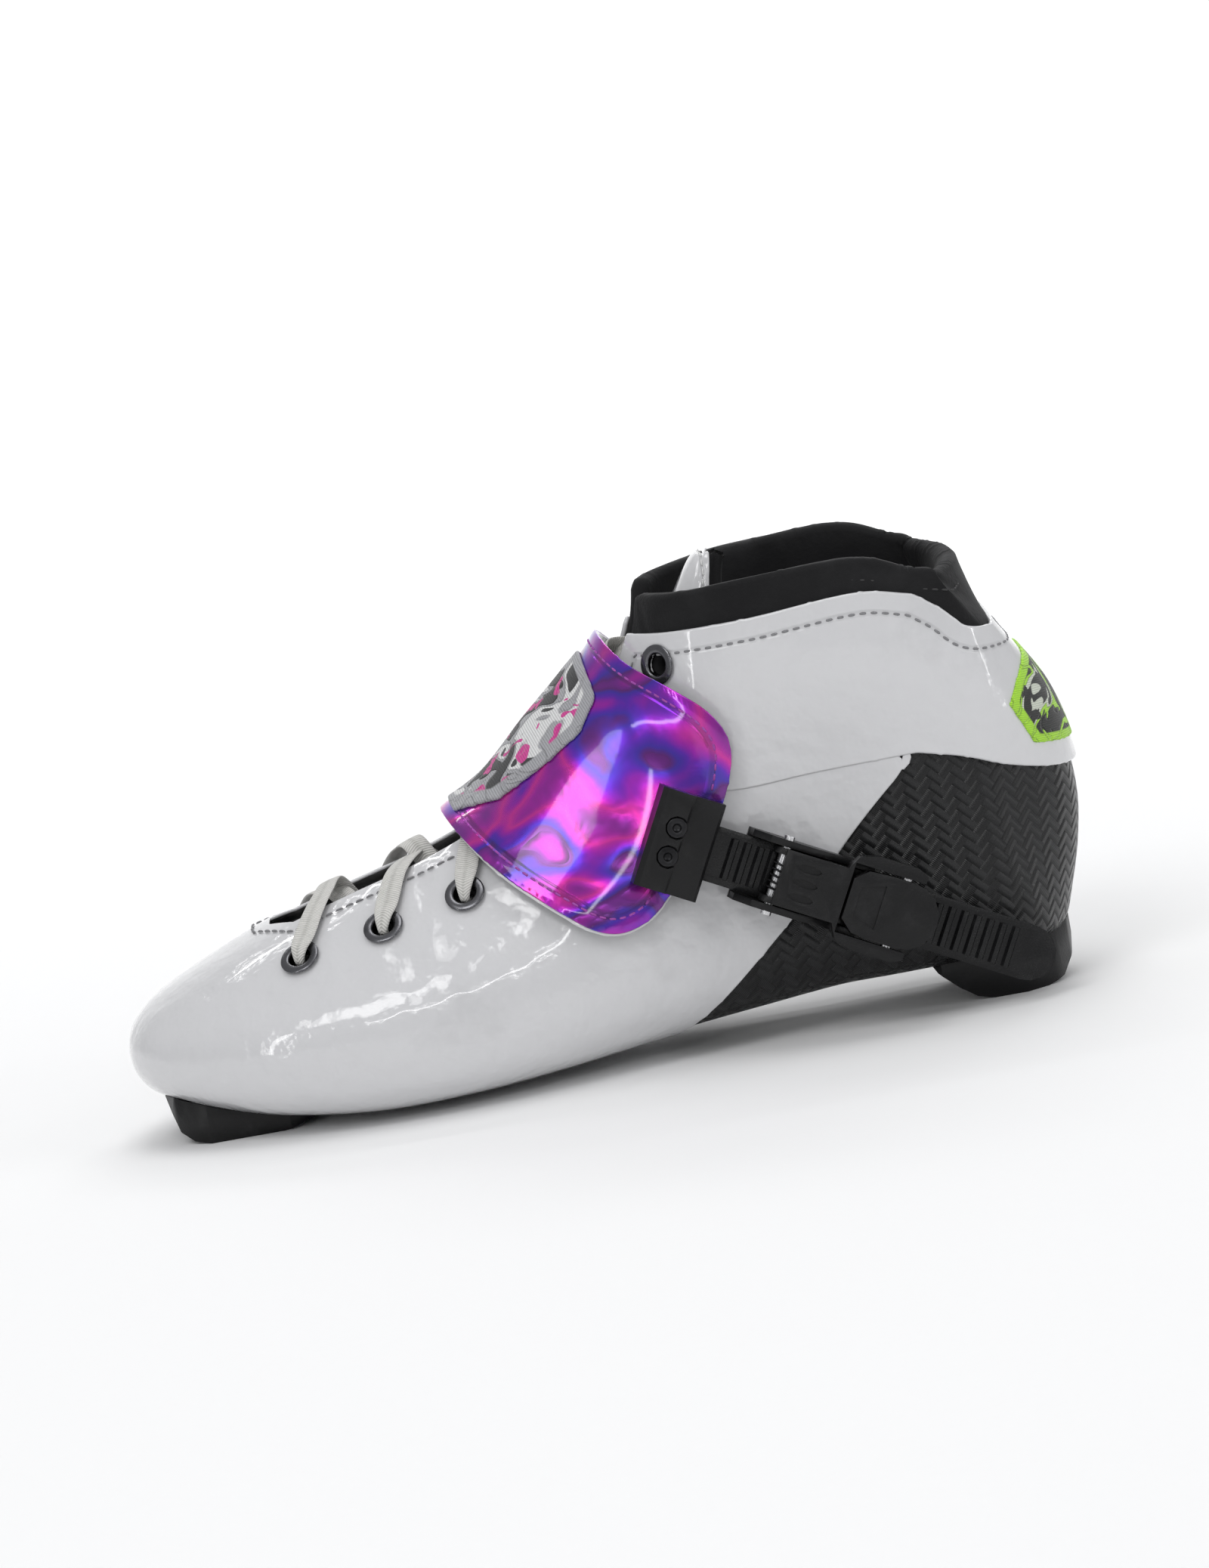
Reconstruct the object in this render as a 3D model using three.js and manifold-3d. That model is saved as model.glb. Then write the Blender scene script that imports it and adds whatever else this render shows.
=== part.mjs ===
// Left boot of a pair of speed skates: carbon shell, patent upper and ankle cuff, padded collar,
// laces, instep strap with a ratchet buckle, and two mounting blocks for a frame or blade.
// Millimetres. The toe points to -X, the outer (lateral) side of the foot to -Y, +Z is up, and
// the boot stands on its two mounting blocks.
import * as THREE from "three";
import { mergeVertices } from "three/addons/utils/BufferGeometryUtils.js";
import Module from "manifold-3d";

const wasm = await Module();
wasm.setup();

// ---------------------------------------------------------------- driving sizes
const BOOT_MIDDLE_X = 6.7; // the outline below starts from a point on the sole, not from mid-length
const LENGTH_SCALE = 1; // stretches the last along X
const WIDTH_SCALE = 1; // stretches the last across Y
const HEIGHT_SCALE = 1; // stretches the last upwards from the ground

const GAP = 0.3; // clearance between two pieces that touch
const UPPER_WALL = 1.0; // patent leather
const SHELL_WALL = 1.6; // carbon laminate
const LINING_WALL = 2.0; // lining of the foot
const COLLAR_PAD = 7.5; // foam of the ankle collar
const TONGUE_WALL = 3.6; // padded tongue
const TONGUE_COVER = 1.0; // patent sheet on the tongue
const FOOTBED_WALL = 3.0;

const THROAT_HALF = 12.5; // half of the lacing gap, from the ridge of the instep
const EYELET_OUTER = 5.5; // radius of the flange
const EYELET_BORE = 3.0; // radius of the hole
const EYELET_WALL = 0.6; // wall of its barrel
const EYELET_FLANGE = 0.6; // height of the rolled flange
const LACE_RADIUS = 1.0; // the tucked lace, as it passes a bore

const STRAP_WALL = 1.8; // instep strap with its backing
const STRAP_LIFT = 2 * LACE_RADIUS + 2.0; // from the upper to the strap, over the laces
const PATCH_WALL = 0.8; // embroidered patches

const LADDER_WIDTH = 15;
const LADDER_BASE = 1.3; // web of the ladder under its teeth
const LADDER_TOOTH = 1.1; // height of a tooth
const TOOTH_PITCH = 3.6;
const LADDER_END = 104; // from the holder's middle to the tail
const PIN_RADIUS = 1.5; // lever and latch pins
const FRAME_WALL = 1.8; // cheeks and floor of the buckle frame
const BUCKLE_CLEAR = 0.5; // ladder to cheeks and floor
const SCREW_RADIUS = 2.0;

const BLOCK_SPACING = 195; // between the two frame bolts
const FRONT_BOLT_X = -90; // front bolt, along the sole
const BLOCK_HALF_WIDTH = 19;
const NUT_LENGTH = 13; // sliding nut, across the boot
const NUT_WIDTH = 11;
const NUT_HEIGHT = 3.0;
const SLOT_WIDTH = 6.6; // mouth of the slot that the bolt passes
const SLOT_LIP = 2.2; // material under the nut
const NUT_TRAVEL = 5; // sideways, each way

// ---------------------------------------------------------------- the last (foot shape)
// Each section of the last lies in a plane square to the side view, from a point on the sole line
// to a point on the crest line.  Columns: sole X, sole Z, crest X, crest Z, half width, distance
// from the sole to the widest point, power of the lower and the upper curve, middle Y.
const SECTIONS = [
  [-127, 23.3, -127, 26.3, 4, 1.5, 2, 2, 6.5],
  [-125.6, 18, -125.2, 31.5, 13.5, 6.7, 2.1, 2, 6.2],
  [-121.5, 13.6, -120, 37, 22, 11, 2.3, 2, 5.4],
  [-114, 10.8, -112, 42, 29.5, 13, 2.6, 1.9, 4.4],
  [-102, 7.3, -100, 47.5, 37, 15.5, 3, 1.8, 3],
  [-85, 3.8, -84, 54, 43.5, 17.5, 3.4, 1.7, 1.5],
  [-60, 1.6, -62, 61, 48, 19, 3.8, 1.65, 0],
  [-35, 1.7, -38, 68, 48, 20, 3.8, 1.65, -1],
  [-10, 2.7, -16.5, 77, 44.5, 22, 3.4, 1.7, -1],
  [12, 4.1, 0, 91, 40, 25, 3.1, 1.8, 0],
  [32, 5.5, 12.5, 101.5, 36.5, 27, 3, 1.95, 0.5],
  [47, 6.6, 21.5, 110, 34.5, 29, 3, 2.1, 0.5],
  [58, 7.5, 27.5, 122, 33.8, 30, 3, 2.3, 0.5],
  [69, 8.3, 32, 140, 33.6, 31, 3, 2.7, 0],
  [81, 8.6, 41, 150, 33.6, 28, 3.3, 4, 0],
  [95, 8.9, 50, 152, 33.6, 28, 3.5, 6, 0],
  [112, 9.4, 57, 153, 33.6, 31, 3.5, 6, 0],
  [126, 10.6, 62, 154, 33.4, 46, 2.8, 6, 0],
  [131.8, 14.5, 66, 154, 33.2, 60, 2.3, 6, 0],
  [135.3, 23, 69, 154, 33, 68, 2.1, 6, 0],
  [139.2, 36, 73, 154, 33, 71, 2, 6, 0],
  [141.2, 50, 77, 154, 32.8, 70, 2, 6, 0],
  [139.9, 66, 81, 154, 32.3, 66, 2, 6, 0],
  [136, 80, 85, 154, 31.6, 58, 2, 6, 0],
  [130, 91, 89, 154, 30.8, 51, 2, 6, 0],
  [125, 99, 93, 154, 30, 45, 2, 6, 0],
  [121.5, 108, 97, 154, 29.2, 39, 2, 6, 0],
  [119.5, 118, 101, 154, 28.4, 31, 2, 6, 0],
  [118.5, 138, 106, 153, 26, 14, 2, 4, 0],
];
// Soft bumps and hollows on the sides: X, Z, radius, share of the half width, side (0 is both).
const BUMPS = [
  [72, 58, 22, -0.11, 0],
  [84, 97, 17, 0.07, 0],
  [18, 14, 30, -0.14, 1],
  [-20, 55, 26, -0.05, 0],
];

const clamp = (v, low, high) => Math.max(low, Math.min(high, v));
const vec = (x, y, z) => new THREE.Vector3(x, y, z);

function catmull(a, b, c, d, t) {
  const linear = (c - a) / 2;
  const square = a - 2.5 * b + 2 * c - d / 2;
  const cube = (d - a) / 2 + 1.5 * (b - c);
  return b + t * (linear + t * (square + t * cube));
}

function sectionAt(s) {
  const last = SECTIONS.length - 1;
  const i = clamp(Math.floor(s), 0, last - 1);
  const row = (k) => SECTIONS[clamp(k, 0, last)];
  const mix = (_, c) =>
    catmull(row(i - 1)[c], row(i)[c], row(i + 1)[c], row(i + 2)[c], s - i);
  return SECTIONS[0].map(mix);
}

// Point of the last. turn is 0 on the sole line, a quarter turn at the widest point and a half
// turn on the crest; positive is the inner (medial) side.
function lastPoint(s, turn) {
  const [bx, bz, tx, tz, width, widest, lower, upper, middle] = sectionAt(s);
  const run = Math.hypot(tx - bx, tz - bz);
  const rise = -Math.cos(turn);
  const out = Math.sin(turn);
  const mix = THREE.MathUtils.smoothstep(rise, -0.6, 0.6);
  const power = lower + (upper - lower) * mix;
  const sum = Math.abs(rise) ** power + Math.abs(out) ** power;
  const reach = sum ** (-1 / power);
  const up = widest + rise * reach * (rise < 0 ? widest : run - widest);
  const x = bx + ((tx - bx) * up) / run;
  const z = bz + ((tz - bz) * up) / run;
  let swell = 1;
  for (const [cx, cz, radius, share, side] of BUMPS) {
    const far = ((x - cx) ** 2 + (z - cz) ** 2) / (2 * radius ** 2);
    if (side * out >= 0) swell += share * Math.exp(-far) * (side ? Math.min(1, 2 * out) : 1);
  }
  const y = middle + out * reach * width * swell;
  return vec(x * LENGTH_SCALE, y * WIDTH_SCALE, z * HEIGHT_SCALE);
}

function lastNormal(s, turn) {
  const last = SECTIONS.length - 1;
  const e = 0.02;
  const along = lastPoint(Math.min(s + e, last), turn).sub(lastPoint(Math.max(s - e, 0), turn));
  const round = lastPoint(s, turn + e).sub(lastPoint(s, turn - e));
  return round.cross(along).normalize();
}

// Point at a distance outside (or, negative, inside) the last.
function skin(s, turn, offset) {
  return lastPoint(s, turn).addScaledVector(lastNormal(s, turn), offset);
}

// Section and turn of the point with a given X and distance from the middle, above the widest.
function seatOnTop(x, across, side) {
  const turnAt = (s) => {
    let [low, high] = [Math.PI / 2, Math.PI];
    for (let k = 0; k < 30; k++) {
      const turn = (low + high) / 2;
      const y = lastPoint(s, side * turn).y - lastPoint(s, Math.PI).y;
      if (Math.abs(y) > across) low = turn;
      else high = turn;
    }
    return side * low;
  };
  let [low, high] = [0, 14];
  for (let k = 0; k < 30; k++) {
    const s = (low + high) / 2;
    if (lastPoint(s, turnAt(s)).x < x * LENGTH_SCALE) low = s;
    else high = s;
  }
  return { s: low, turn: turnAt(low) };
}

// Section and turn of the point on one side with a given X and Z.
function seatOnSide(x, z, side) {
  const target = vec(x * LENGTH_SCALE, 0, z * HEIGHT_SCALE);
  let best = { s: 8, turn: Math.PI / 2, miss: Infinity };
  let [stepS, stepTurn] = [1, 0.15];
  for (let pass = 0; pass < 9; pass++) {
    const centre = { ...best };
    const reach = pass === 0 ? 18 : 3;
    for (let i = -reach; i <= reach; i++) {
      for (let j = -10; j <= 10; j++) {
        const s = clamp(centre.s + i * stepS, 0, SECTIONS.length - 1);
        const turn = clamp(centre.turn + j * stepTurn, 0, Math.PI);
        const p = lastPoint(s, side * turn);
        const miss = Math.hypot(p.x - target.x, p.z - target.z);
        if (miss < best.miss) best = { s, turn, miss };
      }
    }
    stepS /= 3;
    stepTurn /= 3;
  }
  return { s: best.s, turn: side * best.turn };
}

// ---------------------------------------------------------------- solids
function solidOf(geometry) {
  const bare = geometry.index ? geometry.toNonIndexed() : geometry.clone();
  bare.deleteAttribute("normal");
  bare.deleteAttribute("uv");
  const merged = mergeVertices(bare, 1e-4);
  const vertProperties = new Float32Array(merged.attributes.position.array);
  const triVerts = new Uint32Array(merged.index.array);
  const made = new wasm.Manifold(new wasm.Mesh({ numProp: 3, vertProperties, triVerts }));
  if (made.volume() > 0) return made;
  for (let i = 0; i < triVerts.length; i += 3) {
    [triVerts[i + 1], triVerts[i + 2]] = [triVerts[i + 2], triVerts[i + 1]];
  }
  return new wasm.Manifold(new wasm.Mesh({ numProp: 3, vertProperties, triVerts }));
}

function geometryOf(solid) {
  const mesh = solid.getMesh();
  const geometry = new THREE.BufferGeometry();
  const positions = new THREE.BufferAttribute(mesh.vertProperties, 3);
  geometry.setAttribute("position", positions);
  geometry.setIndex(new THREE.BufferAttribute(mesh.triVerts, 1));
  return geometry;
}

// Closed solid from a grid of points: rows of equal length, each row a closed ring. From the
// place turnBack on, a ring runs back under itself, and its facets are split the same way.
function ringSolid(rings, turnBack = Infinity) {
  const count = rings[0].length;
  const positions = rings.flat().flatMap((p) => [p.x, p.y, p.z]);
  const index = [];
  for (let i = 0; i + 1 < rings.length; i++) {
    for (let j = 0; j < count; j++) {
      const k = (j + 1) % count;
      const [a, b] = [i * count + j, i * count + k];
      const [c, d] = [a + count, b + count];
      if (j < turnBack) index.push(a, c, b, b, c, d);
      else index.push(a, c, d, a, d, b);
    }
  }
  for (const [ring, turned] of [[0, false], [rings.length - 1, true]]) {
    const middle = positions.length / 3;
    const sum = rings[ring].reduce((t, p) => t.add(p), vec(0, 0, 0)).divideScalar(count);
    positions.push(sum.x, sum.y, sum.z);
    for (let j = 0; j < count; j++) {
      const [a, b] = [ring * count + j, ring * count + ((j + 1) % count)];
      if (turned) index.push(middle, b, a);
      else index.push(middle, a, b);
    }
  }
  const geometry = new THREE.BufferGeometry();
  geometry.setAttribute("position", new THREE.Float32BufferAttribute(positions, 3));
  geometry.setIndex(index);
  return solidOf(geometry);
}

const AROUND = 24; // points round a section
const skinCache = new Map();

// The whole last, grown or shrunk by an offset, as one solid.
function lastSolid(offset) {
  if (skinCache.has(offset)) return skinCache.get(offset);
  const first = offset < 0 ? -offset * 0.28 : 0;
  const stations = SECTIONS.map((_, i) => i).filter((i) => i > first + 0.3);
  const rings = [];
  for (const s of [first, ...stations]) {
    const ring = [];
    for (let j = 0; j < AROUND; j++) ring.push(skin(s, ((j + 0.5) / AROUND - 0.5) * 2 * Math.PI, offset));
    rings.push(ring);
  }
  const made = ringSolid(rings);
  skinCache.set(offset, made);
  return made;
}

// The wall between two offsets of the last.
function wall(inner, outer) {
  return lastSolid(outer).subtract(lastSolid(inner));
}

// Solid strip of the wall between two offsets, over a range of sections and turns.
function strip(sections, turnsAt, inner, outer) {
  const rings = sections.map((s) => {
    const turns = turnsAt(s);
    const over = turns.map((turn) => skin(s, turn, outer));
    const under = turns.map((turn) => skin(s, turn, inner)).reverse();
    return [...over, ...under];
  });
  return ringSolid(rings, rings[0].length / 2);
}

function span(from, to, count) {
  return Array.from({ length: count + 1 }, (_, i) => from + ((to - from) * i) / count);
}

// Smooth line through points [x, z], as points.
function curve(points, steps) {
  const line = new THREE.SplineCurve(points.map(([x, z]) => new THREE.Vector2(x, z)));
  return line.getPoints(steps).map((p) => [p.x, p.y]);
}

// Prism across the boot from a side view outline [x, z]; lean lifts it towards the medial side.
function sidePrism(outline, fromY, toY, lean = 0) {
  const shape = new THREE.Shape(
    outline.map(([x, z]) => new THREE.Vector2(x * LENGTH_SCALE, z * HEIGHT_SCALE)),
  );
  const depth = (toY - fromY) * WIDTH_SCALE;
  const geometry = new THREE.ExtrudeGeometry(shape, { depth, bevelEnabled: false });
  geometry.rotateX(Math.PI / 2);
  geometry.translate(0, toY * WIDTH_SCALE, 0);
  const p = geometry.attributes.position;
  for (let i = 0; i < p.count; i++) p.setZ(i, p.getZ(i) + lean * p.getY(i));
  return solidOf(geometry);
}

// Upright prism from a plan outline [x, y].
function planPrism(outline, fromZ, toZ) {
  const shape = new THREE.Shape(
    outline.map(([x, y]) => new THREE.Vector2(x * LENGTH_SCALE, y * WIDTH_SCALE)),
  );
  const geometry = new THREE.ExtrudeGeometry(shape, { depth: toZ - fromZ, bevelEnabled: false });
  geometry.translate(0, 0, fromZ);
  return solidOf(geometry);
}

// Solid of revolution about a line that starts at a point; profile is [radius, height].
function turned(profile, sides, base, direction) {
  const points = profile.map(([r, h]) => new THREE.Vector2(r, h));
  points.push(points[0].clone());
  const geometry = new THREE.LatheGeometry(points, sides);
  const turn = new THREE.Quaternion().setFromUnitVectors(vec(0, 1, 0), direction);
  geometry.applyQuaternion(turn);
  geometry.translate(base.x, base.y, base.z);
  return solidOf(geometry);
}

// Rod or hole along a line, from one height to another.
function rod(radius, from, to, base, direction, sides = 10) {
  const profile = [[0, from], [radius, from], [radius, to], [0, to]];
  const points = profile.map(([r, h]) => new THREE.Vector2(r, h));
  const geometry = new THREE.LatheGeometry(points, sides);
  const turn = new THREE.Quaternion().setFromUnitVectors(vec(0, 1, 0), direction);
  geometry.applyQuaternion(turn);
  geometry.translate(base.x, base.y, base.z);
  return solidOf(geometry);
}

// ---------------------------------------------------------------- materials
const finish = (color, roughness, metalness = 0) => ({ color, roughness, metalness });
const WHITE_PATENT = finish(0xe6e6e8, 0.12);
const CARBON = finish(0x121214, 0.3);
const BLACK_FOAM = finish(0x17171a, 0.9);
const BLACK_LINING = finish(0x1f1f22, 0.95);
const BLACK_PLASTIC = finish(0x1a1a1c, 0.45);
const GUNMETAL = finish(0x4b4c50, 0.3, 1);
const STEEL = finish(0xb9bbc0, 0.25, 1);
const ALUMINIUM = finish(0xc4c6ca, 0.35, 1);
const LACE_WHITE = finish(0xdcdad4, 0.9);
const IRIDESCENT = finish(0xa5139f, 0.15, 0.4);
const EMBROIDERY = finish(0x8d8f92, 0.85);
const LIME_THREAD = finish(0xb4e02a, 0.85);

const group = new THREE.Group();
group.position.x = -BOOT_MIDDLE_X * LENGTH_SCALE;

function add(name, solid, look) {
  const mesh = new THREE.Mesh(geometryOf(solid), new THREE.MeshStandardMaterial(look));
  mesh.name = name;
  group.add(mesh);
  return mesh;
}

// ---------------------------------------------------------------- side view outlines [x, z]
// Line where the carbon shows below the patent leather.
const COLOUR_LINE = curve([[15, 3], [30, 12], [45, 24], [60, 37], [76, 53], [87, 63], [96, 70.5]], 18);
// Lower and upper edges of the ankle cuff, from the throat to beyond the heel.
const CUFF_FOOT = curve([[0, 96], [12, 84], [26, 75.5], [45, 71], [70, 71.5], [97, 72]], 12).concat(
  curve([[97, 72], [110, 68.5], [122, 63.5], [134, 60], [150, 58]], 8).slice(1),
);
const CUFF_TOP = curve([[14, 113], [24, 114.5], [38, 115.5], [60, 116.5], [90, 118], [103, 115]],
  10).concat(
  curve([[103, 115], [110, 109.5], [116, 103.5], [125, 101.5], [150, 101.5]], 8).slice(1),
);
// Top of the padded collar, which stands above the cuff.
const COLLAR_TOP = curve([[16, 121], [28, 123.5], [45, 125], [70, 126.5], [92, 125.5], [104, 121]],
  10).concat(
  curve([[104, 121], [112, 119], [118, 118], [150, 118]], 6).slice(1),
);
const COLLAR_FOOT = 84; // where the collar padding starts above the foot lining
const BELOW = -6; // any height under the boot
const ABOVE = 165; // any height over it
const SIDE = 70; // any distance beyond the sides
const EDGE_LEAN = 0.06; // the collar is a little higher on the medial side

const reversed = (line) => [...line].reverse();
const shifted = (line, dx, dz) => line.map(([x, z]) => [x + dx, z + dz]);
const prism = (outline, lean = 0) => sidePrism(outline, -SIDE, SIDE, lean);

const underCollar = prism(
  [[-150, BELOW], [155, BELOW], ...reversed(COLLAR_TOP), [16, ABOVE], [-150, ABOVE]],
  EDGE_LEAN,
);
const underCuffTop = prism(
  [[-150, BELOW], [155, BELOW], ...reversed(CUFF_TOP), [14, ABOVE], [-150, ABOVE]],
  EDGE_LEAN,
);
const cuffBand = prism([...CUFF_FOOT, [150, ABOVE], [-20, ABOVE]]);
const vampArea = prism([
  [-150, BELOW],
  ...COLOUR_LINE,
  ...reversed(shifted(CUFF_FOOT.filter(([x]) => x < 96), 0, -GAP)),
  [-20, ABOVE],
  [-150, ABOVE],
]);
// The carbon reaches a little under the patent leather, and runs on as a sole plate.
const SHELL_LAP = 7;
const shellArea = prism([
  [-150, BELOW],
  [155, BELOW],
  [155, 62 + SHELL_LAP],
  [110, 68 + SHELL_LAP],
  [96, 71 + SHELL_LAP],
  ...reversed(shifted(COLOUR_LINE, -SHELL_LAP, SHELL_LAP)).slice(0, -3),
  [0, 17],
  [-60, 15],
  [-104, 18],
  [-150, 22],
]);

// ---------------------------------------------------------------- throat and tongue
const THROAT_START = 5.05; // section of the last where the lacing gap begins
const TONGUE_START = 4.8;
const TONGUE_END = 12.75;
const TONGUE_HALF = 27;
const LINING_OUT = -UPPER_WALL - SHELL_WALL - 2 * GAP; // outer face of the foot lining
const LINING_IN = LINING_OUT - LINING_WALL;
const LACE_ROOM = 2 * LACE_RADIUS + 1.8; // between the lining and the tongue
const TONGUE_OUT = LINING_IN - LACE_ROOM;

function turnAcross(s, across, side) {
  let [low, high] = [Math.PI / 2, Math.PI];
  for (let k = 0; k < 24; k++) {
    const turn = (low + high) / 2;
    const y = lastPoint(s, side * turn).y - lastPoint(s, Math.PI).y;
    if (Math.abs(y) > across * WIDTH_SCALE) low = turn;
    else high = turn;
  }
  return low;
}

// Turns from one side of the crest to the other, at a distance across it.
function overCrest(s, across, count) {
  const medial = turnAcross(s, across, 1);
  const lateral = turnAcross(s, across, -1);
  return span(medial, 2 * Math.PI - lateral, count);
}

const throatSections = [THROAT_START, THROAT_START + 0.12, ...span(5.5, 13.4, 12)];
const throatWidth = (s) => THROAT_HALF * Math.min(1, 0.45 + (s - THROAT_START) * 1.6);
const throat = strip(throatSections, (s) => overCrest(s, throatWidth(s), 8), TONGUE_OUT - 4, 8);

const tongueRound = (s) => Math.sqrt(1 - clamp((s - 11.4) / (TONGUE_END + 0.12 - 11.4), 0, 1) ** 5);
const tongueWidth = (s) => TONGUE_HALF * Math.min(1, 0.5 + (s - TONGUE_START) * 0.7) * tongueRound(s);
const tongueSections = [4.8, 5.2, 5.7, 6.4, 7.2, 8, 8.8, 9.6, 10.4, 11, 11.6, 12.1, 12.4, 12.6, TONGUE_END];
const tongue = strip(
  tongueSections,
  (s) => overCrest(s, tongueWidth(s), 8),
  TONGUE_OUT - TONGUE_COVER - GAP - TONGUE_WALL,
  TONGUE_OUT - TONGUE_COVER - GAP,
);
const coverWidth = (s) => tongueWidth(s) - 2.5;
const tongueCover = strip(
  tongueSections.slice(1, -1),
  (s) => overCrest(s, coverWidth(s), 8),
  TONGUE_OUT - TONGUE_COVER,
  TONGUE_OUT,
);

// ---------------------------------------------------------------- boot body
const eyeletSeats = [];
for (const [pair, [x, across]] of [
  [-74.5, 28], [-51, 29], [-28, 28.5], [-7, 27], [14, 25.5], [34, 24],
].entries()) {
  for (const side of [-1, 1]) {
    const { s, turn } = seatOnTop(x, across * WIDTH_SCALE, side);
    eyeletSeats.push({ pair, side, s, turn, at: lastPoint(s, turn), out: lastNormal(s, turn) });
  }
}
const vampHoles = [];
const liningHoles = [];
for (const { at, out } of eyeletSeats) {
  vampHoles.push(rod(EYELET_BORE + EYELET_WALL + GAP, -UPPER_WALL - 1, 2, at, out, 8));
  liningHoles.push(rod(EYELET_BORE + EYELET_WALL + GAP, TONGUE_OUT, 2, at, out, 8));
}
const join = (list) => list.reduce((a, b) => a.add(b));
const cut = (solid, list) => list.reduce((a, b) => a.subtract(b), solid);
const mainBody = (solid) => solid.decompose().sort((a, b) => b.volume() - a.volume())[0];

let carbonShell = wall(-UPPER_WALL - GAP - SHELL_WALL, -UPPER_WALL - GAP).intersect(shellArea);
let forefootUpper = cut(wall(-UPPER_WALL, 0).intersect(vampArea).subtract(throat), vampHoles);
let ankleCuff = cut(
  wall(-UPPER_WALL, 0).intersect(cuffBand).intersect(underCuffTop).subtract(throat), vampHoles,
);
const collarZone = sidePrism([[-20, COLLAR_FOOT], [155, COLLAR_FOOT], [155, ABOVE], [-20, ABOVE]], -SIDE,
  SIDE);
const linedZone = sidePrism(
  [[-150, BELOW], [155, BELOW], [155, COLLAR_FOOT - GAP], [-20, COLLAR_FOOT - GAP], [-20, ABOVE],
    [-150, ABOVE]],
  -SIDE, SIDE,
);
let collarPadding = cut(
  wall(-COLLAR_PAD, -UPPER_WALL - GAP).intersect(collarZone).intersect(underCollar).subtract(throat),
  liningHoles,
);
let footLining = cut(wall(LINING_IN, LINING_OUT).intersect(linedZone).subtract(throat), liningHoles);
const inside = lastSolid(LINING_IN - GAP);
const footbedZone = sidePrism(curve([[-112, 22], [-60, 16.5], [0, 17.5], [60, 22], [124, 27]],
  12).concat([[124, 0], [-112, 0]]), -SIDE, SIDE);
const footbed = mainBody(
  inside.subtract(inside.translate([0, 0, FOOTBED_WALL])).intersect(footbedZone),
);

// Room for the laces between the tongue and the padding beside the throat.
const facingRelief = strip(span(8.6, 13.2, 8), (s) => overCrest(s, 33, 8), TONGUE_OUT - 6, LINING_IN);
collarPadding = collarPadding.subtract(facingRelief);

// ---------------------------------------------------------------- eyelets and lace
const EYELET_LIFT = 0.7; // flange above the upper
const eyeletProfile = [
  [EYELET_BORE, -UPPER_WALL - 0.8],
  [EYELET_BORE + EYELET_WALL, -UPPER_WALL - 0.8],
  [EYELET_BORE + EYELET_WALL, EYELET_LIFT],
  [EYELET_OUTER, EYELET_LIFT],
  [EYELET_OUTER - 0.4, EYELET_LIFT + EYELET_FLANGE * 0.8],
  [EYELET_BORE + 0.8, EYELET_LIFT + EYELET_FLANGE],
  [EYELET_BORE, EYELET_LIFT + EYELET_FLANGE * 0.5],
];

const LACED_PAIRS = 5; // the top pair stays free
const LACE_OVER = EYELET_LIFT + EYELET_FLANGE + 0.2 + LACE_RADIUS; // centre of the lace on a flange
const LACE_UNDER = LINING_IN - LACE_ROOM / 2 + 0.2; // centre of the lace under the facing
const seatOf = (pair, side) => eyeletSeats.find((e) => e.pair === pair && e.side === side);

// Point across the crest between two eyelets: share 0 is at the first one, 1 at the second.
function between(a, b, share, offset) {
  const s = a.s + (b.s - a.s) * share;
  const crestTurn = (turn) => (turn < 0 ? turn + 2 * Math.PI : turn);
  const turn = crestTurn(a.turn) + (crestTurn(b.turn) - crestTurn(a.turn)) * share;
  return skin(s, turn, offset);
}

// From out of one eyelet, over the throat, under the other facing and up to the next eyelet.
function crossing(a, b, middleOffset) {
  return [
    between(a, b, -0.002, LACE_UNDER + 1),
    between(a, b, -0.008, -3),
    between(a, b, -0.014, -1),
    between(a, b, -0.008, 1.2),
    between(a, b, 0.04, LACE_OVER + 0.2),
    between(a, b, 0.1, LACE_OVER + 0.1),
    between(a, b, 0.25, LACE_OVER - 0.3),
    between(a, b, 0.38, (LACE_OVER + middleOffset) / 2),
    between(a, b, 0.5, middleOffset),
    between(a, b, 0.59, LACE_UNDER * 0.75),
    between(a, b, 0.67, LACE_UNDER),
    between(a, b, 0.93, LACE_UNDER),
  ];
}

const laceHalf = (side, middleOffset) => {
  const points = [];
  for (let pair = 0; pair + 1 < LACED_PAIRS; pair++) {
    const over = pair % 2 === 0 ? side : -side;
    points.push(...crossing(seatOf(pair, over), seatOf(pair + 1, -over), middleOffset));
  }
  const last = LACED_PAIRS - 1;
  const end = last % 2 === 0 ? side : -side;
  points.push(...crossing(seatOf(last, end), seatOf(last + 1, -end), middleOffset).slice(0, -1));
  return points;
};
const [first, second] = [seatOf(0, -1), seatOf(0, 1)];
const laceBar = [0.1, 0.25, 0.4, 0.6, 0.75, 0.9].map((share) => between(first, second, share, LACE_UNDER));
const laceRoute = [...laceHalf(-1, 1.3).reverse(), ...laceBar, ...laceHalf(1, -2.9)];

// Closed tube along a route of points.
function tube(route, radius, steps, sides) {
  const shape = new THREE.Shape(
    span(0, 2 * Math.PI, sides).slice(0, -1).map((a) => new THREE.Vector2(radius * Math.cos(a),
      radius * Math.sin(a))),
  );
  const extrudePath = new THREE.CatmullRomCurve3(route, false, "centripetal");
  return solidOf(new THREE.ExtrudeGeometry(shape, { steps, extrudePath, bevelEnabled: false }));
}
const lace = tube(laceRoute, LACE_RADIUS, 180, 5);

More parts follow.
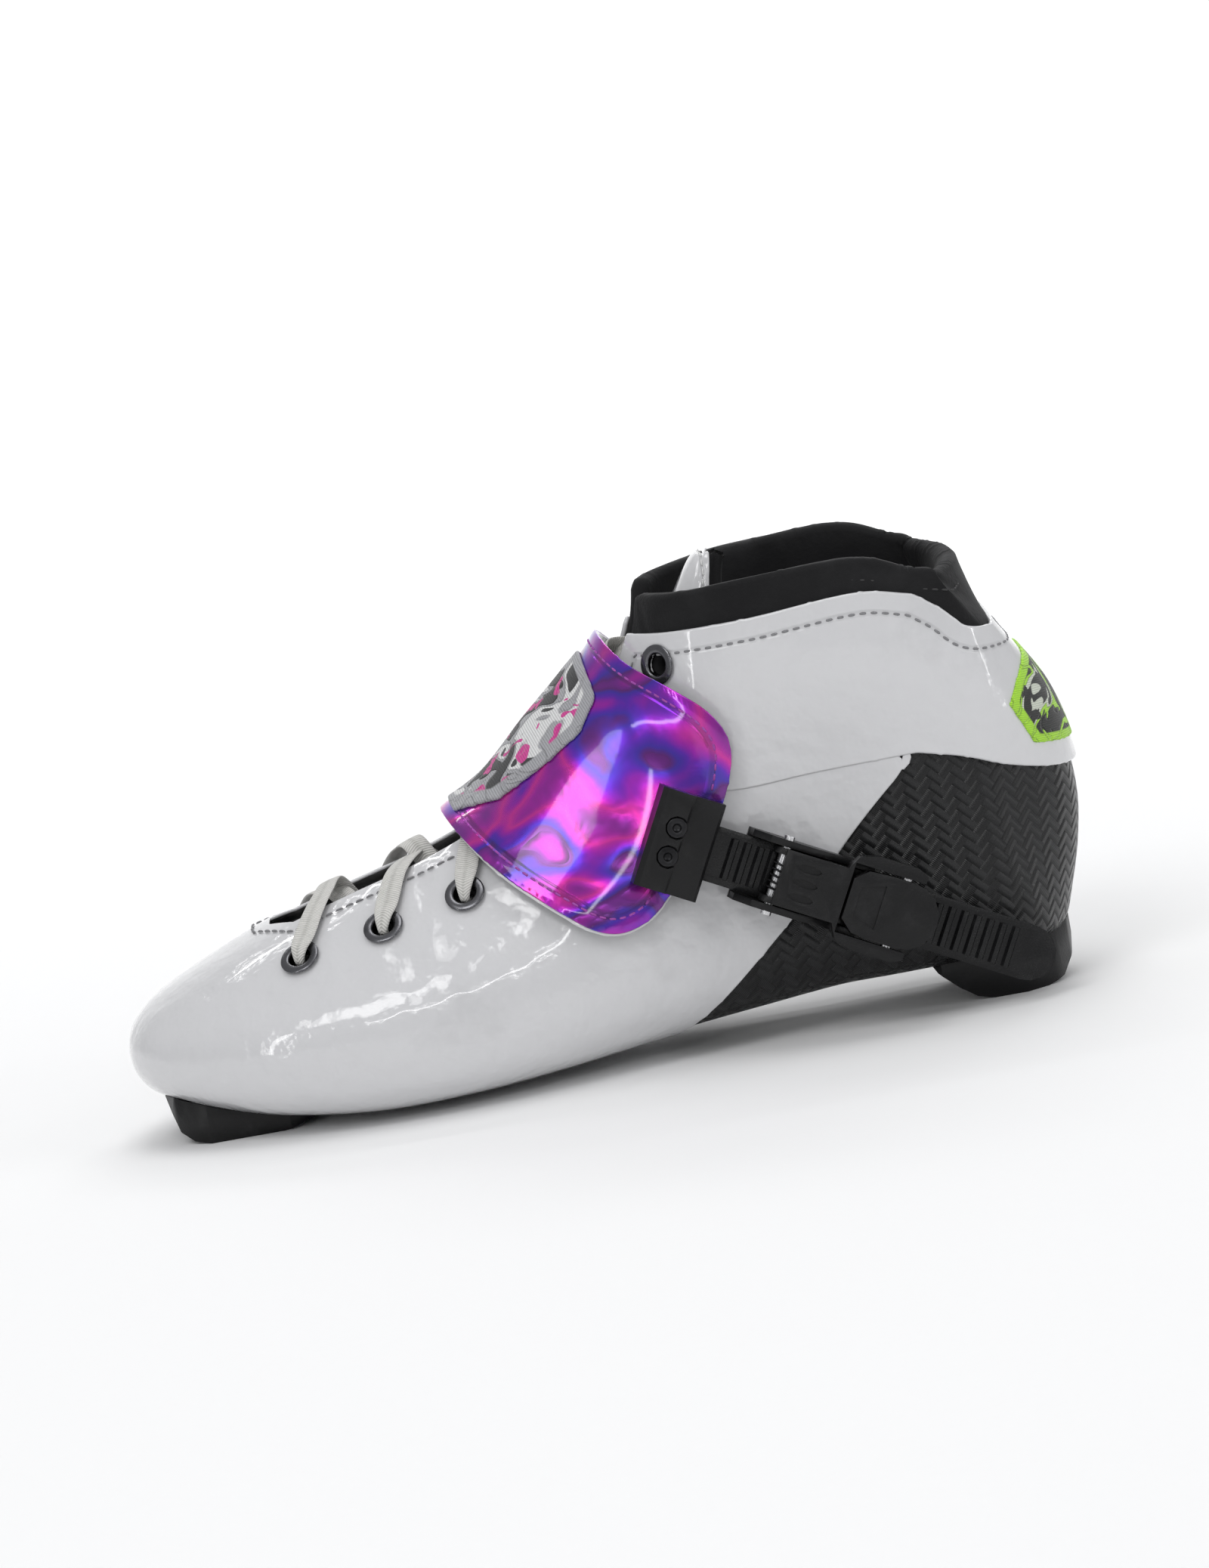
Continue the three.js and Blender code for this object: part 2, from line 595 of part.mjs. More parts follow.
// ---------------------------------------------------------------- instep strap
const STRAP_OUT = STRAP_LIFT + STRAP_WALL;
const strapLateral = [
  [-35, 82],
  ...curve([[-32, 75], [-23, 64], [-15, 56], [-4, 46.5], [4, 41], [11, 39.5], [19, 42], [26, 48]], 12),
  ...curve([[30, 53], [38, 60], [46, 72], [49, 84], [46, 92], [38, 100], [28, 107], [22.5, 114]], 12),
  [21, 121],
  [6, 130],
];
const strapMedial = [
  [-35, 82],
  ...curve([[-32, 75], [-23, 64], [-14, 52], [-4, 37], [3, 23], [8, 18]], 8),
  ...curve([[30, 18], [35, 24], [38, 42], [39, 62], [36, 84], [30, 102], [22.5, 114]], 8),
  [21, 121],
  [6, 130],
];
let instepStrap = wall(STRAP_LIFT, STRAP_OUT).intersect(
  sidePrism(strapLateral, -SIDE, 0.05).add(sidePrism(strapMedial, 0, SIDE)),
);
const strapPatch = wall(STRAP_OUT + GAP, STRAP_OUT + GAP + PATCH_WALL).intersect(
  sidePrism([[-25, 71], [-12, 74], [0, 81], [12, 89], [18, 97], [17, 109], [8, 122], [-30, 88]], -SIDE,
    SIDE),
);

const RIVET_PLACES = [[11, 28], [27, 28]];
const RIVET_HEAD = 4;
const RIVET_SHANK = 1.7;
const rivets = RIVET_PLACES.map(([x, z]) => {
  const seat = seatOnSide(x, z, 1);
  const [at, out] = [lastPoint(seat.s, seat.turn), lastNormal(seat.s, seat.turn)];
  const solid = turned(
    [
      [0.6, -UPPER_WALL - 1.9],
      [RIVET_HEAD - 0.8, -UPPER_WALL - 1.9],
      [RIVET_HEAD - 0.8, -UPPER_WALL - 0.9],
      [RIVET_SHANK, -UPPER_WALL - 0.9],
      [RIVET_SHANK, STRAP_OUT + GAP + 0.1],
      [RIVET_HEAD, STRAP_OUT + GAP + 0.1],
      [RIVET_HEAD - 1.2, STRAP_OUT + GAP + 1.3],
      [0.6, STRAP_OUT + GAP + 1.6],
    ],
    10, at, out,
  );
  return { at, out, solid };
});
for (const { at, out } of rivets) {
  const hole = rod(RIVET_SHANK + GAP, -UPPER_WALL - 1.5, STRAP_OUT + 2, at, out, 8);
  forefootUpper = forefootUpper.subtract(hole);
  instepStrap = instepStrap.subtract(hole);
}

// ---------------------------------------------------------------- ladder strap and holder
// Buckle frame of reference: u runs along the ladder to its tail, v across it, n outwards.
const LADDER_HEAD = vec(32 * LENGTH_SCALE, -39.6 * WIDTH_SCALE, 59.5 * HEIGHT_SCALE);
const LADDER_TAIL = vec(122 * LENGTH_SCALE, -34.6 * WIDTH_SCALE, 10.5 * HEIGHT_SCALE);
const BUCKLE_TILT = 0.09; // the wall of the boot leans in at the top
const U = LADDER_TAIL.clone().sub(LADDER_HEAD).normalize();
const N = vec(0, -1, BUCKLE_TILT).projectOnPlane(U).normalize();
const V = N.clone().cross(U);

const atBuckle = (u, v, n) =>
  LADDER_HEAD.clone().addScaledVector(U, u).addScaledVector(V, v).addScaledVector(N, n);

// Plate from a plan outline [u, v], between two heights.
function plate(outline, fromN, toN) {
  const shape = new THREE.Shape(outline.map(([u, v]) => new THREE.Vector2(u, v)));
  const geometry = new THREE.ExtrudeGeometry(shape, { depth: toN - fromN, bevelEnabled: false });
  geometry.applyMatrix4(new THREE.Matrix4().makeBasis(U, V, N).setPosition(atBuckle(0, 0, fromN)));
  return solidOf(geometry);
}

// Bar from a side outline [u, n], between two places across the ladder.
function profile(outline, fromV, toV) {
  const shape = new THREE.Shape(outline.map(([u, n]) => new THREE.Vector2(u, n)));
  const geometry = new THREE.ExtrudeGeometry(shape, { depth: toV - fromV, bevelEnabled: false });
  const basis = new THREE.Matrix4().makeBasis(U, N, V.clone().negate());
  geometry.applyMatrix4(basis.setPosition(atBuckle(0, toV, 0)));
  return solidOf(geometry);
}

const box = (u0, u1, v0, v1, n0, n1) => plate([[u0, v0], [u1, v0], [u1, v1], [u0, v1]], n0, n1);
const crossRod = (radius, u, n, halfLength) => rod(radius, -halfLength, halfLength, atBuckle(u, 0, n), V);
const arc = (u, v, radius, from, to, count) =>
  span(from, to, count).map((a) => [u + radius * Math.cos(a), v + radius * Math.sin(a)]);
const mirrored = (outline) => [...outline, ...[...outline].reverse().map(([u, v]) => [u, -v])];

const LADDER_HALF = LADDER_WIDTH / 2;
const LADDER_TOP = LADDER_BASE + LADDER_TOOTH;
const LADDER_START = -8;
const HOLDER_SCREW_U = -4.5;
const HOLDER_SCREW_RADIUS = 1.6;
const HOLDER_SCREWS = [-4, 4];
const HOLDER_HALF = 13.5;
const HOLDER_FRONT = -11;
const HOLDER_STEP = -2;
const HOLDER_BACK = 6.5;
const HOLDER_TOP = 8;
const HOLDER_LOW_TOP = 6;

const teeth = [];
for (let u = HOLDER_BACK + 4.5; u < LADDER_END - 11; u += TOOTH_PITCH) {
  teeth.push([u, LADDER_BASE], [u + 0.7, LADDER_TOP], [u + 1.9, LADDER_TOP], [u + 2.3, LADDER_BASE]);
}
const comb = profile(
  [[HOLDER_BACK + 3, LADDER_BASE / 2], ...[[LADDER_END - 9, LADDER_BASE / 2], ...reversed(teeth)]],
  -LADDER_HALF + 2, LADDER_HALF - 2,
);
let ladderStrap = plate(
  [
    [LADDER_START, -LADDER_HALF],
    ...arc(LADDER_END - LADDER_HALF, 0, LADDER_HALF, -Math.PI / 2, Math.PI / 2, 8),
    [LADDER_START, LADDER_HALF],
  ],
  0, LADDER_BASE,
).add(comb);
let strapHolder = profile(
  [
    [HOLDER_FRONT, -9],
    [HOLDER_BACK, -9],
    [HOLDER_BACK, HOLDER_LOW_TOP - 0.8],
    [HOLDER_BACK - 0.8, HOLDER_LOW_TOP],
    [HOLDER_STEP, HOLDER_LOW_TOP],
    [HOLDER_STEP, HOLDER_TOP - 0.6],
    [HOLDER_STEP - 0.6, HOLDER_TOP],
    [HOLDER_FRONT + 1.4, HOLDER_TOP],
    [HOLDER_FRONT, HOLDER_TOP - 1.4],
  ],
  -HOLDER_HALF, HOLDER_HALF,
);
strapHolder = mainBody(strapHolder.subtract(lastSolid(STRAP_OUT + GAP)));
strapHolder = strapHolder.subtract(
  box(LADDER_START - GAP, HOLDER_BACK + 2, -LADDER_HALF - GAP, LADDER_HALF + GAP, -GAP, LADDER_TOP + GAP),
);
const holderScrews = HOLDER_SCREWS.map((v) => {
  const at = atBuckle(HOLDER_SCREW_U, v, 0);
  strapHolder = strapHolder
    .subtract(rod(HOLDER_SCREW_RADIUS + GAP, 1, HOLDER_TOP + 1, at, N))
    .subtract(rod(HOLDER_SCREW_RADIUS + 1.6, HOLDER_TOP - 1.6, HOLDER_TOP + 1, at, N));
  ladderStrap = ladderStrap.subtract(rod(HOLDER_SCREW_RADIUS + GAP, -1, LADDER_TOP + 1, at, N));
  return rod(HOLDER_SCREW_RADIUS, 0.1, HOLDER_TOP - 1, at, N).add(
    rod(HOLDER_SCREW_RADIUS + 1.3, HOLDER_TOP - 1.3, HOLDER_TOP - 0.3, at, N),
  );
});

// ---------------------------------------------------------------- ratchet buckle
const PIN_FIT = PIN_RADIUS + GAP;
const LEVER_PIN = [25, 6.6];
const LATCH_PIN = [58, 8.2];
const PAWL_RADIUS = 0.9; // pawl pins
const DRIVE_PIN = [37.5, 7];
const HOLD_PIN = [48.3, 4.1];
const CHEEK_IN = LADDER_HALF + BUCKLE_CLEAR;
const CHEEK_OUT = CHEEK_IN + FRAME_WALL;
const FLOOR_TOP = -BUCKLE_CLEAR;
const FLOOR = FLOOR_TOP - FRAME_WALL;
const HUB_OUT = CHEEK_IN - 0.4;
const HUB_IN = HUB_OUT - 1.7;
const LEVER_UNDER = 6.2;
const LEVER_TOP = 10.8;
const HUB_RADIUS = 3.2;
const HUB_END = 43; // the hub walls run on into the bar of the fork
const LATCH_TOP = LEVER_TOP + 0.9;
const LATCH_HALF = 9;
const LATCH_END = 60; // middle of the latch's round end
const FORK_IN = LATCH_HALF + 0.6;
const FORK_OUT = FORK_IN + 3.4;
const FORK_FRONT = 43.4;
const PAWL_TIP = LADDER_TOP + 0.4; // pawls rest just clear of the teeth
const SCREW_U = 33;

const cheekOutline = [
  [15, FLOOR], [51, FLOOR], [51, 4.6], [49.6, 5.7], [46.8, 5.7], [43, 4.4], [38, 5.6], [32, 9.4],
    [20, 9.6], [15.6, 5],
];
let buckleFrame = box(15, 51, -CHEEK_OUT, CHEEK_OUT, FLOOR, FLOOR_TOP)
  .add(profile(cheekOutline, CHEEK_IN, CHEEK_OUT))
  .add(profile(cheekOutline, -CHEEK_OUT, -CHEEK_IN));
buckleFrame = cut(buckleFrame, [
  crossRod(PIN_FIT, ...LEVER_PIN, 20),
  crossRod(PAWL_RADIUS + GAP, ...HOLD_PIN, 20),
  rod(SCREW_RADIUS + GAP, FLOOR - 1, 1, atBuckle(SCREW_U, 0, 0), N),
  rod(SCREW_RADIUS + 1.9, FLOOR_TOP - 1.1, 1, atBuckle(SCREW_U, 0, 0), N),
]);

const hubWall = [
  ...arc(...LEVER_PIN, HUB_RADIUS, -Math.PI / 2, -1.5 * Math.PI, 6),
  [HUB_END, LEVER_TOP - 1],
  [HUB_END, LEVER_UNDER - 1],
  [36, LEVER_PIN[1] - HUB_RADIUS],
];
const forkOutline = mirrored([
  [42, -HUB_OUT], [44, -FORK_OUT + 1.6], [49, -FORK_OUT], [60, -FORK_OUT], [63, -FORK_OUT + 1.4],
  [63, -FORK_IN], [FORK_FRONT, -FORK_IN],
]);
let ratchetLever = plate(forkOutline, LEVER_UNDER, LEVER_TOP)
  .add(box(LEVER_PIN[0], HUB_END, -HUB_OUT, HUB_OUT, LEVER_TOP - 1.6, LEVER_TOP))
  .add(profile(hubWall, HUB_IN, HUB_OUT))
  .add(profile(hubWall, -HUB_OUT, -HUB_IN));
ratchetLever = cut(ratchetLever, [
  crossRod(PIN_FIT, ...LEVER_PIN, 20),
  crossRod(PIN_FIT, ...LATCH_PIN, 20),
  crossRod(PAWL_RADIUS + GAP, ...DRIVE_PIN, 20),
  ...[-4, 0, 4].map((v) =>
    plate(arc(0, 0, 1, 0, 2 * Math.PI, 10).slice(1).map(([a, b]) => [32 + 3.6 * a, v + 1.1 * b]),
      LEVER_TOP - 0.8, LEVER_TOP + 1),
  ),
]);

const latchOutline = [
  [44, -5.5], [47.5, -LATCH_HALF + 0.5], [54, -LATCH_HALF],
  ...arc(LATCH_END, 0, LATCH_HALF, -Math.PI / 2, Math.PI / 2, 8),
  [54, LATCH_HALF], [47.5, LATCH_HALF - 0.5], [44, 5.5],
];
const releaseLatch = cut(plate(latchOutline, LEVER_UNDER + 0.4, LATCH_TOP), [
  crossRod(PIN_FIT, ...LATCH_PIN, 20),
  box(LATCH_PIN[0] - 2.8, LATCH_PIN[0] + 2.8, -3.6, 3.6, 0, LATCH_TOP - 0.6),
  plate([[46.5, -4], [53, -6], [53, 6], [46.5, 4]], LATCH_TOP - 0.6, LATCH_TOP + 1),
]);

const drivePawl = profile(
  [[36, 8.4], [39, 8.4], [40.2, 6.3], [41.3, PAWL_TIP], [39.6, PAWL_TIP], [37.2, 5.2], [36, 5.6]],
  -HUB_IN + 0.4, HUB_IN - 0.4,
).subtract(crossRod(PAWL_RADIUS + GAP, ...DRIVE_PIN, 20));
const holdingPawl = profile(
  [[49.7, 5.3], [47.4, 5.5], [44.3, 3.5], [44.3, PAWL_TIP], [49.7, PAWL_TIP]],
  -CHEEK_IN + 0.4, CHEEK_IN - 0.4,
).subtract(crossRod(PAWL_RADIUS + GAP, ...HOLD_PIN, 20));

const COIL_RADIUS = PIN_RADIUS + 0.65;
const WIRE_RADIUS = 0.35;
function coil([u, n], halfLength, turns) {
  const route = span(0, turns * 2 * Math.PI, turns * 8).map((a, i, all) =>
    atBuckle(u + COIL_RADIUS * Math.cos(a), halfLength * (2 * (i / (all.length - 1)) - 1),
      n + COIL_RADIUS * Math.sin(a)),
  );
  return tube(route, WIRE_RADIUS, turns * 9, 5);
}

// The pad fills the room between the boot and the buckle frame; its screw ends in a round nut.
const padOutline = mirrored([[18, -5], [21, -8.6], [45, -8.6], [48, -5]]);
let basePad = mainBody(plate(padOutline, -14, FLOOR - GAP).subtract(lastSolid(GAP)));
const screwSeat = atBuckle(SCREW_U, 0, 0);
const screwWall = seatOnSide(screwSeat.x / LENGTH_SCALE, screwSeat.z / HEIGHT_SCALE, -1);
const skinDepth = lastPoint(screwWall.s, screwWall.turn).sub(screwSeat).dot(N); // n of the upper there
const nutTop = skinDepth + LINING_OUT - GAP;
const NUT_DISC = 5;
const screwHole = rod(SCREW_RADIUS + GAP, nutTop - 3, FLOOR, screwSeat, N);
const buckleScrew = rod(SCREW_RADIUS, nutTop - 1.2, FLOOR_TOP - 0.4, screwSeat, N).add(
  rod(SCREW_RADIUS + 1.6, FLOOR_TOP - 0.8, FLOOR_TOP - 0.1, screwSeat, N),
);
const buckleNut = rod(NUT_DISC, nutTop - 1.5, nutTop, screwSeat, N, 14).subtract(screwHole);
basePad = basePad.subtract(screwHole);
forefootUpper = forefootUpper.subtract(screwHole);
carbonShell = carbonShell.subtract(screwHole);
footLining = footLining.subtract(rod(NUT_DISC + GAP, nutTop - 4, nutTop + 0.6, screwSeat, N));

// ---------------------------------------------------------------- mounting blocks
const REAR_BOLT_X = FRONT_BOLT_X + BLOCK_SPACING;
const INSERT_HALF = [11, 14.5]; // front block let into the sole, along and across
const INSERT_TOP = 6.3;
const insertBox = (grow) => {
  const [hx, hy] = INSERT_HALF.map((h) => h + grow);
  const x = FRONT_BOLT_X - 0.8;
  return planPrism([[x - hx, -hy], [x + hx, -hy], [x + hx, hy], [x - hx, hy]], 1 - grow * 9,
    INSERT_TOP + grow);
};
const half = BLOCK_HALF_WIDTH;
const frontFootprint = mirrored([[-119, -8], [-116, -14], [-108, -half], [-86, -half - 1],
  [-79, -half + 3]]);
const rearFootprint = mirrored([[89, -half + 5], [94, -half], [116, -half - 1], [125, -half + 4],
  [130, -8], [131.5, -2]]);
const frontSide = [[-119, 14], [-117.5, 8], [-116, 3.6], [-112.5, 0.8], [-108, 0], [-88, 0], [-84, 0.6],
  [-79, 2.4], [-79, 14]];
const rearSide = [[89, 16], [93, 9], [98, 4.4], [102.5, 1.2], [107, 0], [122, 0], [127, 1.3], [130.5, 6],
  [132.5, 16]];

// Slot across a block for its sliding nut, and the mouth that the bolt passes.
function slot(x) {
  const reach = NUT_LENGTH / 2 + NUT_TRAVEL + GAP;
  const rect = (hx, hy) => [[x - hx, -hy], [x + hx, -hy], [x + hx, hy], [x - hx, hy]];
  const channel = planPrism(rect(NUT_WIDTH / 2 + GAP, reach), SLOT_LIP - 0.6,
    SLOT_LIP - 0.6 + NUT_HEIGHT - 0.2);
  return channel.add(planPrism(rect(SLOT_WIDTH / 2, reach), -1, SLOT_LIP));
}
function slidingNut(x) {
  const rect = (hx, hy) => [[x - hx, -hy], [x + hx, -hy], [x + hx, hy], [x - hx, hy]];
  const low = SLOT_LIP - 0.6 + GAP;
  const plateSolid = planPrism(rect(NUT_WIDTH / 2, NUT_LENGTH / 2), low, low + NUT_HEIGHT - 0.8);
  return plateSolid.subtract(rod(2.6, -2, 12, vec(x * LENGTH_SCALE, 0, 0), vec(0, 0, 1), 12));
}
const frontBlock = mainBody(
  sidePrism(frontSide, -SIDE, SIDE).intersect(planPrism(frontFootprint, -1, 20)).subtract(lastSolid(GAP)),
).add(insertBox(0)).subtract(slot(FRONT_BOLT_X));
const rearBlock = mainBody(
  sidePrism(rearSide, -SIDE, SIDE).intersect(planPrism(rearFootprint, -1,
    20)).subtract(lastSolid(-UPPER_WALL)),
).subtract(slot(REAR_BOLT_X));
forefootUpper = forefootUpper.subtract(insertBox(GAP));
carbonShell = carbonShell.subtract(insertBox(GAP));

const heelPatch = wall(GAP, GAP + PATCH_WALL).intersect(
  sidePrism([[150, 63], [129, 67.5], [124, 79], [131, 91.5], [150, 96]], -SIDE, SIDE),
);

// ---------------------------------------------------------------- the assembly
add("carbon_shell", carbonShell, CARBON);
add("forefoot_upper", forefootUpper, WHITE_PATENT);
add("ankle_cuff", ankleCuff, WHITE_PATENT);
add("collar_padding", collarPadding, BLACK_FOAM);
add("foot_lining", footLining, BLACK_LINING);
add("tongue", tongue, BLACK_FOAM);
add("tongue_cover", tongueCover, WHITE_PATENT);
add("footbed", footbed, BLACK_LINING);
for (const { pair, side, at, out } of eyeletSeats) {
  const name = `eyelet_${side < 0 ? "lateral" : "medial"}_${pair + 1}`;
  add(name, turned(eyeletProfile, 10, at, out), GUNMETAL);
}
add("lace", lace, LACE_WHITE);
add("instep_strap", instepStrap, IRIDESCENT);
add("strap_patch", strapPatch, EMBROIDERY);
rivets.forEach(({ solid }, i) => add(`strap_rivet_${i + 1}`, solid, STEEL));
add("strap_holder", strapHolder, BLACK_PLASTIC);
holderScrews.forEach((solid, i) => add(`holder_screw_${i + 1}`, solid, STEEL));
add("ladder_strap", ladderStrap, BLACK_PLASTIC);
add("buckle_base_pad", basePad, BLACK_PLASTIC);
add("buckle_screw", buckleScrew, STEEL);
add("buckle_nut", buckleNut, STEEL);
add("buckle_frame", buckleFrame, BLACK_PLASTIC);
add("lever_pin", crossRod(PIN_RADIUS, ...LEVER_PIN, CHEEK_OUT + 1.2), STEEL);
add("ratchet_lever", ratchetLever, BLACK_PLASTIC);
add("drive_pawl_pin", crossRod(PAWL_RADIUS, ...DRIVE_PIN, HUB_OUT - 0.1), STEEL);
add("drive_pawl", drivePawl, STEEL);
add("holding_pawl_pin", crossRod(PAWL_RADIUS, ...HOLD_PIN, CHEEK_OUT), STEEL);
add("holding_pawl", holdingPawl, STEEL);
add("lever_spring", coil(LEVER_PIN, 4.2, 5), STEEL);
add("latch_pin", crossRod(PIN_RADIUS, ...LATCH_PIN, FORK_OUT - 0.3), STEEL);
add("release_latch", releaseLatch, BLACK_PLASTIC);
add("latch_spring", coil(LATCH_PIN, 2.6, 3), STEEL);
add("heel_patch", heelPatch, LIME_THREAD);
add("front_mount_block", frontBlock, CARBON);
add("rear_mount_block", rearBlock, CARBON);
add("front_frame_nut", slidingNut(FRONT_BOLT_X), ALUMINIUM);
add("rear_frame_nut", slidingNut(REAR_BOLT_X), ALUMINIUM);

export default group;
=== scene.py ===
"""Left boot of a pair of speed skates: patent leather over a carbon shell, with a padded collar,
flat laces, an instep strap and a ratchet buckle. Lengths in the code are in millimetres in the
last's own frame, and become metres when a mesh is written."""

import math

import bmesh
import bpy
import numpy as np
from mathutils import Matrix, Vector


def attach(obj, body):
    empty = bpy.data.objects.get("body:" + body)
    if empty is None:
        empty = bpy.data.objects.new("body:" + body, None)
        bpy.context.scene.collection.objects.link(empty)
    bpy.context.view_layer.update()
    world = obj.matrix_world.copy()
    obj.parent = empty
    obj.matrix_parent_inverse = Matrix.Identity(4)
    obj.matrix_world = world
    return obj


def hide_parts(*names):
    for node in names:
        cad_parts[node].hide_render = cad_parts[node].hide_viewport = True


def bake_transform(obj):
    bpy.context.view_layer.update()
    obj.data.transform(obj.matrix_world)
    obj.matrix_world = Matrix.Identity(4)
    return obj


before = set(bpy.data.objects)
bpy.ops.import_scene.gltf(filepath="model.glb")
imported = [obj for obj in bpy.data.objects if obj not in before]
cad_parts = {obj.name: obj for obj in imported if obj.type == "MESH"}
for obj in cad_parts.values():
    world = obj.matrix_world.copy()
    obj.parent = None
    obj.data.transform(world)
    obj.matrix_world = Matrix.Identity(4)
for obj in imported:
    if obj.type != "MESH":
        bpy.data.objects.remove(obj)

bl_info = {
    "name": "Speed skate boot",
    "version": (1, 0, 0),
    "blender": (4, 5, 0),
    "location": "View3D > Sidebar > Boot",
    "description": "Builds the leather, lacing, strap and buckle of a speed skate boot",
    "category": "Add Mesh",
}

PI = math.pi
MM = 0.001
BOOT_MIDDLE = 6.7  # the last starts from a point on the sole, not from mid-length
GAP = 0.3
UV_MM = 100.0  # a whole U or V stands for this many mm

# walls, and distances from the last: outwards is positive
UPPER_WALL, STRAP_WALL, PATCH_WALL = 1.0, 1.8, 0.8
CUFF_OUT = 0.45
STRAP_SEAM = 3.4  # from the strap's edge to its row of stitches
CUFF_STITCH, STRAP_STITCH, FINE_STITCH = (2.3, 0.7, 0.55), (2.2, 0.6, 0.5), (2.1, 0.55, 0.45)
SHELL_IN = -2.9
LINING_OUT, LINING_IN = -3.2, -5.2
COLLAR_IN = -7.1
TONGUE_OUT, TONGUE_COVER, TONGUE_PAD = -9.0, 1.0, 3.6
STRAP_LIFT = 4.0
LACE_UNDER, LACE_OVER = -6.9, 1.95
EYELET_HOLE = 3.75

# places along the last are counted in sections, heights and lengths are in mm
TONGUE_START, TONGUE_ROUND, TONGUE_END, TONGUE_HALF = 4.8, 12.0, 13.35, 27
THROAT_START, THROAT_HALF, SECTION_RUN = 5.05, 12.5, 22.0
COLLAR_FOOT = 84  # the padding starts at this height, and the thin lining ends
TOP_TILT = 0.06  # the cuff stands a little higher on the inner side

# ------------------------------------------------------------------ the last (foot shape)
# sole X, sole Z, crest X, crest Z, half width, sole to widest, lower power, upper power, middle Y
SECTIONS = np.array([
    [-127, 23.3, -127, 26.3, 4, 1.5, 2, 2, 6.5],
    [-125.6, 18, -125.2, 31.5, 13.5, 6.7, 2.1, 2, 6.2],
    [-121.5, 13.6, -120, 37, 22, 11, 2.3, 2, 5.4],
    [-114, 10.8, -112, 42, 29.5, 13, 2.6, 1.9, 4.4],
    [-102, 7.3, -100, 47.5, 37, 15.5, 3, 1.8, 3],
    [-85, 3.8, -84, 54, 43.5, 17.5, 3.4, 1.7, 1.5],
    [-60, 1.6, -62, 61, 48, 19, 3.8, 1.65, 0],
    [-35, 1.7, -38, 68, 48, 20, 3.8, 1.65, -1],
    [-10, 2.7, -16.5, 77, 44.5, 22, 3.4, 1.7, -1],
    [12, 4.1, 0, 91, 40, 25, 3.1, 1.8, 0],
    [32, 5.5, 12.5, 101.5, 36.5, 27, 3, 1.95, 0.5],
    [47, 6.6, 21.5, 110, 34.5, 29, 3, 2.1, 0.5],
    [58, 7.5, 27.5, 122, 33.8, 30, 3, 2.3, 0.5],
    [69, 8.3, 32, 140, 33.6, 31, 3, 2.7, 0],
    [81, 8.6, 41, 150, 33.6, 28, 3.3, 4, 0],
    [95, 8.9, 50, 152, 33.6, 28, 3.5, 6, 0],
    [112, 9.4, 57, 153, 33.6, 31, 3.5, 6, 0],
    [126, 10.6, 62, 154, 33.4, 46, 2.8, 6, 0],
    [131.8, 14.5, 66, 154, 33.2, 60, 2.3, 6, 0],
    [135.3, 23, 69, 154, 33, 68, 2.1, 6, 0],
    [139.2, 36, 73, 154, 33, 71, 2, 6, 0],
    [141.2, 50, 77, 154, 32.8, 70, 2, 6, 0],
    [139.9, 66, 81, 154, 32.3, 66, 2, 6, 0],
    [136, 80, 85, 154, 31.6, 58, 2, 6, 0],
    [130, 91, 89, 154, 30.8, 51, 2, 6, 0],
    [125, 99, 93, 154, 30, 45, 2, 6, 0],
    [121.5, 108, 97, 154, 29.2, 39, 2, 6, 0],
    [119.5, 118, 101, 154, 28.4, 31, 2, 6, 0],
    [118.5, 138, 106, 153, 26, 14, 2, 4, 0],
])
# X, Z, radius, share of the half width, side (0 is both)
BUMPS = [(72, 58, 22, -0.11, 0), (84, 97, 17, 0.07, 0), (18, 14, 30, -0.14, 1), (-20, 55, 26, -0.05, 0)]


def ease(t):
    """A smooth step from 0 to 1."""
    return t * t * (3 - 2 * t)


def spline(a, b, c, d, t):
    """Between b and c on the smooth line through four values."""
    return b + t * ((c - a) / 2 + t * ((a - 2.5 * b + 2 * c - d / 2) + t * ((d - a) / 2 + 1.5 * (b - c))))


def last_points(s, turn):
    """Points of the last. turn is 0 on the sole line and half a turn on the crest, medial positive."""
    s, turn = np.asarray(s, float), np.asarray(turn, float)
    top = len(SECTIONS) - 1
    i = np.clip(np.floor(s).astype(int), 0, top - 1)
    a, b, c, d = (SECTIONS[np.clip(i + k, 0, top)] for k in (-1, 0, 1, 2))
    t = (s - i)[..., None]
    row = spline(a, b, c, d, t)
    bx, bz, tx, tz, width, widest, lower, upper, middle = np.moveaxis(row, -1, 0)
    run = np.hypot(tx - bx, tz - bz)
    rise, out = -np.cos(turn), np.sin(turn)
    power = lower + (upper - lower) * ease(np.clip((rise + 0.6) / 1.2, 0, 1))
    reach = (np.abs(rise) ** power + np.abs(out) ** power) ** (-1 / power)
    up = widest + rise * reach * np.where(rise < 0, widest, run - widest)
    x, z = bx + (tx - bx) * up / run, bz + (tz - bz) * up / run
    swell = 1.0
    for cx, cz, radius, amount, side in BUMPS:
        near = amount * np.exp(-((x - cx) ** 2 + (z - cz) ** 2) / (2 * radius**2))
        swell = swell + near * (np.clip(2 * side * out, 0, 1) if side else 1)
    return np.stack([x, middle + out * reach * width * swell, z], -1)


def unit(v):
    return v / np.maximum(np.linalg.norm(v, axis=-1, keepdims=True), 1e-12)


def across(f, s, turn, e=0.012):
    """Unit normals of a surface f(s, turn), out of the boot."""
    top = len(SECTIONS) - 1
    along = f(np.minimum(s + e, top), turn) - f(np.maximum(s - e, 0), turn)
    return unit(np.cross(f(s, turn + e) - f(s, turn - e), along))


def skin(s, turn, offset=0.0):
    """Points at a distance outside the last, or inside it where the distance is negative."""
    offset = np.asarray(offset, float)
    return last_points(s, turn) + across(last_points, s, turn) * offset[..., None]


